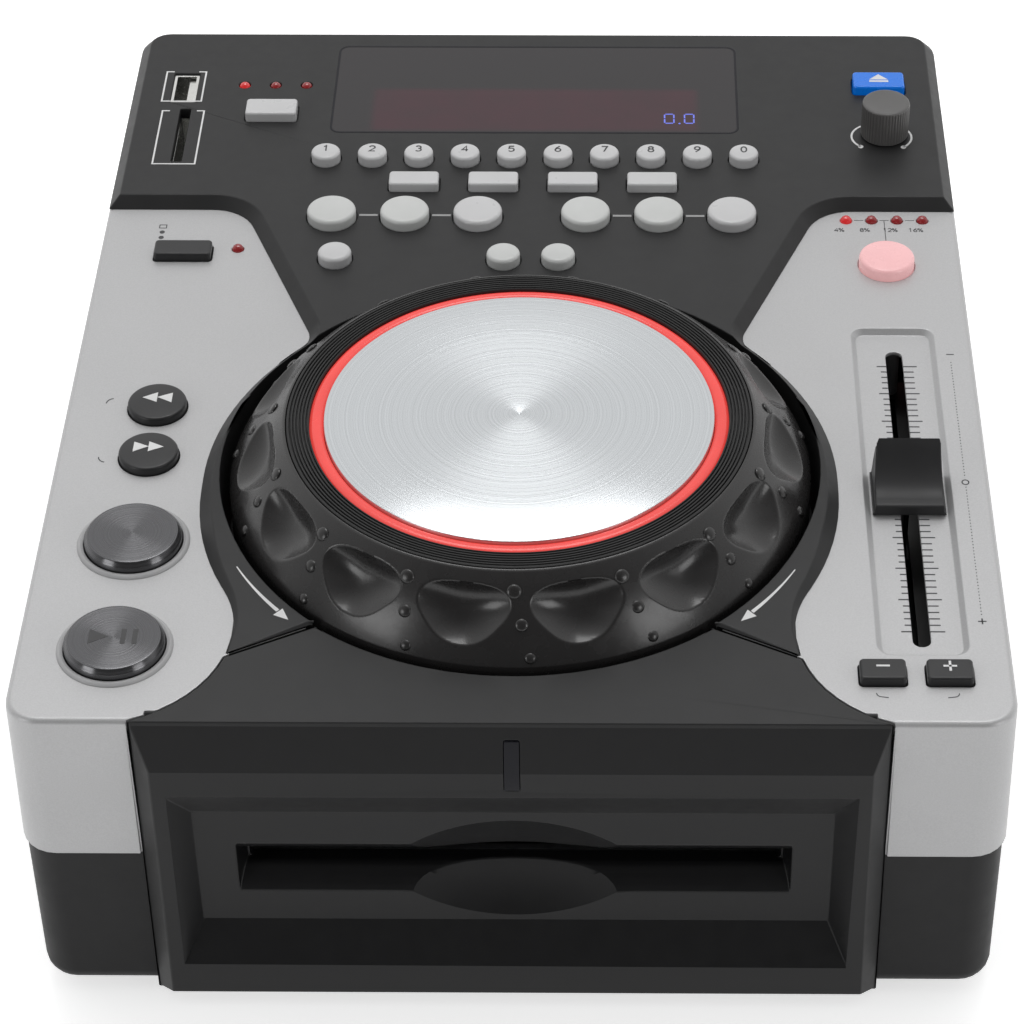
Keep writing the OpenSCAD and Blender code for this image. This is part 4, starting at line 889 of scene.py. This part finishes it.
def eject_sign():
    """A triangle over a bar, towards the back of the eject key."""
    x, y, top = top_of("eject_button")
    mark = Print(top)
    half = 2.6
    mark.slab([(x - half, y - 0.2), (x + half, y - 0.2), (x, y + 2.4)])
    mark.slab([(x - half, y - 1.4), (x + half, y - 1.4), (x + half, y - 0.6), (x - half, y - 0.6)])
    mark.finish("eject_mark", PRINT_WHITE, body_of("eject_button"))


def pitch_sign(node, plus):
    x, y, top = top_of(node)
    mark = Print(top)
    half, width = 1.5, 0.55
    y += 0.8
    mark.line([(x - half, y), (x + half, y)], width)
    if plus:
        mark.line([(x, y - 1.6), (x, y + 1.6)], width)
    mark.finish(node + "_sign", PRINT_WHITE, body_of(node))


def bar_keys():
    """The keys with straight sides, their edges rounded, and the signs on them."""
    softened("source_button", KEY_SILVER, 0.35, 3)
    for i in range(4):
        softened("function_button_" + str(i + 1), KEY_SILVER, 0.3, 3)
    softened("eject_button", KEY_BLUE, 0.35, 3)
    eject_sign()
    softened("jog_mode_button", KEY_BLACK, 0.35, 3)
    for node, plus in (("pitch_minus_button", False), ("pitch_plus_button", True)):
        softened(node, KEY_BLACK, 0.35, 3)
        pitch_sign(node, plus)


def track_knob():
    """A fluted knob with a plain, slightly dished top."""
    low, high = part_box("track_knob")
    centre = ((low.x + high.x) / 2, (low.y + high.y) / 2)
    top = high.z / MM
    turns, ribs, radius = 480, 48, 6.4
    angles = np.arange(turns) * 2 * math.pi / turns
    wave = 0.5 - 0.5 * np.cos(angles * ribs)
    foot = low.z / MM
    rows = [(0.001, foot, 0), (3, foot, 0), (3, Z_PANEL + 0.3, 0), (6.1, Z_PANEL + 0.3, 0),
            (6.35, Z_PANEL + 0.5, 0.3), (radius, Z_PANEL + 1.0, 1), (radius, top - 0.9, 1),
            (radius - 0.05, top - 0.55, 0.6), (radius - 0.15, top - 0.3, 0), (radius - 0.35, top - 0.1, 0),
            (radius - 0.65, top, 0), (radius - 1.2, top - 0.02, 0), (3, top - 0.22, 0),
            (0.001, top - 0.28, 0)]
    points = []
    for r, z, depth in rows:
        rr = r - 0.22 * depth * wave
        points += [(centre[0] + q * MM * math.cos(a), centre[1] + q * MM * math.sin(a), z * MM)
                   for q, a in zip(rr, angles)]
    faces = [(k * turns + i, k * turns + (i + 1) % turns, (k + 1) * turns + (i + 1) % turns,
              (k + 1) * turns + i) for k in range(len(rows) - 1) for i in range(turns)]
    mesh = new_mesh("track_knob_skin", points, faces)
    face_outwards(mesh, merge=2e-6)
    piece = new_piece("track_knob_skin", mesh, KNOB)
    smooth_by_angle(mesh, 40)
    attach(piece, "knob")
    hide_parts("track_knob")


# ---------------------------------------------------------------- print on the case

def wing_height(x, y):
    return Z_PANEL - max(0, (WING_HINGE_Y - y) * WING_FALL)


def panel_print():
    white = Print(Z_PANEL)
    gap = 2.0
    for x0, y0, x1, y1 in SOCKET_FRAMES:
        white.line([(x0 + gap, y1), (x0, y1), (x0, y0), (x1, y0), (x1, y1), (x1 - gap, y1)], 0.45)
    for centre, start, end in KNOB_ARCS:
        path = arc(centre, 6.0, start, end, 14)
        white.line(path, 0.55)
        white.dot(*path[-1], 0.75)
    white.finish("panel_marks", PRINT_WHITE, "case")
    grey = Print(Z_PANEL)
    for middle in LOOP_MIDDLES:
        for x in (middle - 9.5, middle + 9.5):
            grey.line([(x - 2.4, LOOP_LINK_Y), (x + 2.4, LOOP_LINK_Y)], 0.8)
    grey.finish("loop_links", PRINT_GREY, "case")
    # painted shade: a dark line drawn round the display window stands in for the shadow in the gap between
    # window and panel
    dark = Print(Z_PANEL)
    gap_shade_line = []
    for corner, start in zip(WINDOW_CORNERS, (-90, 0, 90, 180)):
        gap_shade_line += arc(corner, 2.5, start, start + 90, 5)
    dark.line(gap_shade_line, 0.55, closed=True)
    dark.finish("window_gap_painted_shade", PIPE, "case")


def wing_arrows():
    """A tapering curved arrow on each side of the jog wheel, pointing to the front."""
    marks = Print(wing_height)
    for start, end, turn in ((210.3, 223.8, 3), (-30.6, -43.6, -3)):
        marks.line(arc(JOG_CENTRE, 73.9, start, end, 16), 0.25, 0.9)
        base, tip = arc(JOG_CENTRE, 74.1, end, end + turn, 1)
        marks.arrow_head(tip, (tip[0] - base[0], tip[1] - base[1]), 3.6, 2.8)
    marks.finish("wing_arrows", PRINT_WHITE, "case")


def side_scale(dark):
    """The dotted scale beside the fader, with a dash, a ring and a cross."""
    x, zero_y = SIDE_SCALE_X, SIDE_SCALE_ZERO_Y
    half = 0.95
    dash_y, cross_y = 131.6, 33.4
    dark.line([(x - half, dash_y), (x + half, dash_y)], 0.3)
    dark.line([(x - half, cross_y), (x + half, cross_y)], 0.35)
    dark.line([(x, cross_y - half), (x, cross_y + half)], 0.35)
    dark.line(oval(x, zero_y, 0.8, 0.85, steps=16), 0.3, closed=True)
    for i in range(86):
        y = SIDE_SCALE_Y + i * 1.09
        if abs(y - zero_y) > 1.8:
            dark.dot(x, y, 0.16, 6)


def bend_and_search_marks(dark):
    """Short curved marks under the two pitch keys and beside the two search keys."""
    middle_x, y = BEND_MIDDLE
    for side, start, end in ((-1, 180, 250), (1, 0, -70)):
        path = arc((middle_x + side * 7.9, y), 1.2, start, end, 6)
        tail_x, tail_y = path[-1]
        dark.line(path, 0.25)
        dark.line([path[-1], (tail_x - side * 1.8, tail_y - 0.3)], 0.25)
    for centre, start, end in SEARCH_ARCS:
        dark.line(arc(centre, 1.9, start, end, 6), 0.3)


def range_marks(dark):
    """Links between the pitch range lamps, and a per cent figure in front of each lamp."""
    lamp_y = RANGE_LAMPS[0][1]
    for x in RANGE_LINKS_X:
        dark.line([(x - 1.2, lamp_y), (x + 1.2, lamp_y)], 0.18)
    dark.line([(92.2, lamp_y - 0.1), (92.2, lamp_y - 9.8)], 0.18)
    pitch = 1.25
    for (lamp_x, _), label in zip(RANGE_LAMPS, ("4%", "8%", "12%", "16%")):
        start = lamp_x - 2.1 - pitch * len(label) / 2
        for k, character in enumerate(label):
            dark.digit(character, start + pitch * (k + 0.5), 184.5, 1.6, 0.24)


def jog_mode_mark(dark):
    """A small box and two dots behind the jog mode key."""
    x = JOG_MODE_MARK_X
    dark.line([(x - 0.9, 184.4), (x + 0.9, 184.4), (x + 0.9, 185.8), (x - 0.9, 185.8)], 0.25, closed=True)
    for y in (182.6, 180.2):
        dark.dot(x, y, 0.7)


def cover_print():
    dark = Print(Z_COVER)
    side_scale(dark)
    bend_and_search_marks(dark)
    range_marks(dark)
    jog_mode_mark(dark)
    dark.finish("cover_marks", PRINT_DARK, "case")
    ticks("fader_ticks_left", -1, 2.4)
    ticks("fader_ticks_right", 1, 3.4)


ZERO_BARS = (((0, 2), (1, 2)), ((1, 1), (1, 2)), ((1, 0), (1, 1)),
             ((0, 0), (1, 0)), ((0, 0), (0, 1)), ((0, 1), (0, 2)))


def display():
    """The smoked window, and a nought, a point and a nought in bars behind it."""
    window = smoked_window(*(at(x, y, 0) for x, y in DISPLAY_FIELD))
    softened("display_window", window, 0.2, 2)
    digits = Print(top_of("display_window")[2])
    bar_w, bar_h = 2.5, 2.2
    for x in DISPLAY_DIGITS_X:
        for ends in ZERO_BARS:
            a, b = (Vector((x + i * bar_w, DISPLAY_DIGITS_Y + j * bar_h)) for i, j in ends)
            gap = (b - a).normalized() * 0.22
            digits.line([tuple(a + gap), tuple(b - gap)], 0.42)
    digits.dot(39.2, 229.5, 0.32, 8)
    digits.finish("display_digits", DIGIT_GLOW, "case")


# ---------------------------------------------------------------- the rest of the case

def case_mouldings():
    softened("base_tray", TRAY, 0.4, 2)
    softened("top_cover", SILVER, 0.25, 2)
    softened("control_panel", PANEL, 0.35, 3)
    softened("front_bezel", BEZEL, 0.4, 3, crease=14, cut=True)
    softened("slot_light_pipe", PIPE, 0.12)
    softened("button_rings", TRIM, 0.1)
    softened("pitch_fader_cap", FADER, 0.4, 3)
    softened("rear_sockets", SOCKET, 0.15)
    softened("power_rocker", SOCKET, 0.3)
    softened("media_sockets", PLATED, 0.1)
    softened("rubber_feet", RUBBER, 0.2)
    for node, material in (("indicator_leds", LENS), ("control_boards", BOARD), ("main_board", BOARD),
                           ("loader_frame", STEEL), ("feed_roller", RUBBER), ("disc_spindle", STEEL),
                           ("laser_sled", SOCKET), ("fader_body", SOCKET), ("case_screws", SCREW),
                           ("jog_axle", STEEL)):
        mesh = frame["nodes"][node].data
        mesh.materials.clear()
        mesh.materials.append(material)


case_mouldings()
jog_skirt()
jog_studs()
grip_ring()
light_ring()
spun_disc()
number_keys()
loop_keys()
small_keys()
search_key("search_back_button", -1)
search_key("search_forward_button", 1)
start_keys()
play_sign()
bar_keys()
track_knob()
panel_print()
wing_arrows()
cover_print()
display()


# ---------------------------------------------------------------- stage, lamps and camera

# how brightly the floor glows by itself, and how bright the room is in front and behind
FLOOR_GLOW = 0.60
ROOM_FRONT = 0.14
ROOM_BACK = 0.95

# the photograph's size, focal length and middle in pixels, and the camera's place and angles
PHOTO_PX = 1024
FOCAL_PX = 3253.26
MIDDLE_PX = (604.82, 511.2)
EYE = (24.43, -508.34, 580.99)
YAW_PITCH_ROLL = (-0.43, 40.37, -0.07)
SENSOR_MM = 36.0


def seen_directly(tree, *outputs):
    """1 for the kinds of ray named, else 0."""
    path = add(tree, "ShaderNodeLightPath")
    total = path.outputs[outputs[0]]
    for name in outputs[1:]:
        total = math_node(tree, "ADD", total, path.outputs[name])
    return math_node(tree, "MINIMUM", total, 1.0)


def pale_floor():
    material = bpy.data.materials.new("pale_floor")
    tree = bare_tree(material)
    diffuse = add(tree, "ShaderNodeBsdfDiffuse", {"Color": (0.8, 0.8, 0.8, 1)})
    seen = seen_directly(tree, "Is Camera Ray", "Is Glossy Ray", "Is Transmission Ray")
    glow = add(tree, "ShaderNodeEmission", {"Strength": math_node(tree, "MULTIPLY", seen, FLOOR_GLOW)})
    both = add(tree, "ShaderNodeAddShader", {0: diffuse.outputs[0], 1: glow.outputs[0]})
    add(tree, "ShaderNodeOutputMaterial", {"Surface": both.outputs[0]})
    half = 6.0
    corners = [(-half, -half, 0), (half, -half, 0), (half, half, 0), (-half, half, 0)]
    floor = new_piece("pale_floor", new_mesh("pale_floor", corners, [(0, 1, 2, 3)]), material)


def surroundings():
    """A pale room whose light comes mostly from the back; the backdrop itself is white."""
    world = bpy.data.worlds.new("studio")
    bpy.context.scene.world = world
    tree = bare_tree(world)
    around = add(tree, "ShaderNodeTexCoord").outputs["Generated"]
    depth = add(tree, "ShaderNodeSeparateXYZ", {0: around}).outputs["Y"]
    room = spread(tree, depth, ROOM_FRONT, ROOM_BACK, -0.65, 0.45, interpolation_type="SMOOTHSTEP")
    seen = seen_directly(tree, "Is Camera Ray", "Is Transmission Ray")
    light = add(tree, "ShaderNodeMix", {"A": room, "B": 1.0, "Factor": seen}, data_type="FLOAT")
    background = add(tree, "ShaderNodeBackground", {
        "Color": (1, 1, 1, 1), "Strength": light.outputs["Result"]})
    add(tree, "ShaderNodeOutputWorld", {"Surface": background.outputs[0]})


def lamp(name, place, target, size, power):
    data = bpy.data.lights.new(name, "AREA")
    data.shape = "RECTANGLE"
    data.size, data.size_y = size
    data.energy = power
    lamp_object = bpy.data.objects.new(name, data)
    lamp_object.location = place
    lamp_object.rotation_euler = (Vector(target) - Vector(place)).to_track_quat("-Z", "Y").to_euler()
    bpy.context.scene.collection.objects.link(lamp_object)


def camera():
    """Stands where the photograph was taken from, as fitted to the case's straight edges."""
    data = bpy.data.cameras.new("camera")
    data.sensor_width = SENSOR_MM
    data.lens = FOCAL_PX / PHOTO_PX * SENSOR_MM
    data.shift_x = (PHOTO_PX / 2 - MIDDLE_PX[0]) / PHOTO_PX
    data.shift_y = (MIDDLE_PX[1] - PHOTO_PX / 2) / PHOTO_PX
    data.clip_start = 0.01
    yaw, pitch, roll = (math.radians(a) for a in YAW_PITCH_ROLL)
    forward = Vector((math.sin(yaw) * math.cos(pitch), math.cos(yaw) * math.cos(pitch), -math.sin(pitch)))
    right = Vector((math.cos(yaw), -math.sin(yaw), 0))
    up = right.cross(forward)
    x_axis = right * math.cos(roll) + up * math.sin(roll)
    y_axis = up * math.cos(roll) - right * math.sin(roll)
    eye = bpy.data.objects.new("camera", data)
    turn = Matrix((x_axis, y_axis, -forward)).transposed().to_4x4()
    eye.matrix_world = Matrix.Translation(at(*EYE)) @ turn
    bpy.context.scene.collection.objects.link(eye)
    bpy.context.scene.camera = eye


pale_floor()
surroundings()
lamp("softbox_above", (0.0, 0.42, 1.33), (0, 0, 0.08), (0.8, 0.5), 5.0)
for side, sign in (("left", -1), ("right", 1)):
    lamp("softbox_side_" + side, (sign * 1.25, -1.0, 0.62), (0, 0, 0.05), (0.6, 0.6), 4.2)
camera()
bpy.context.scene.view_settings.view_transform = "Standard"
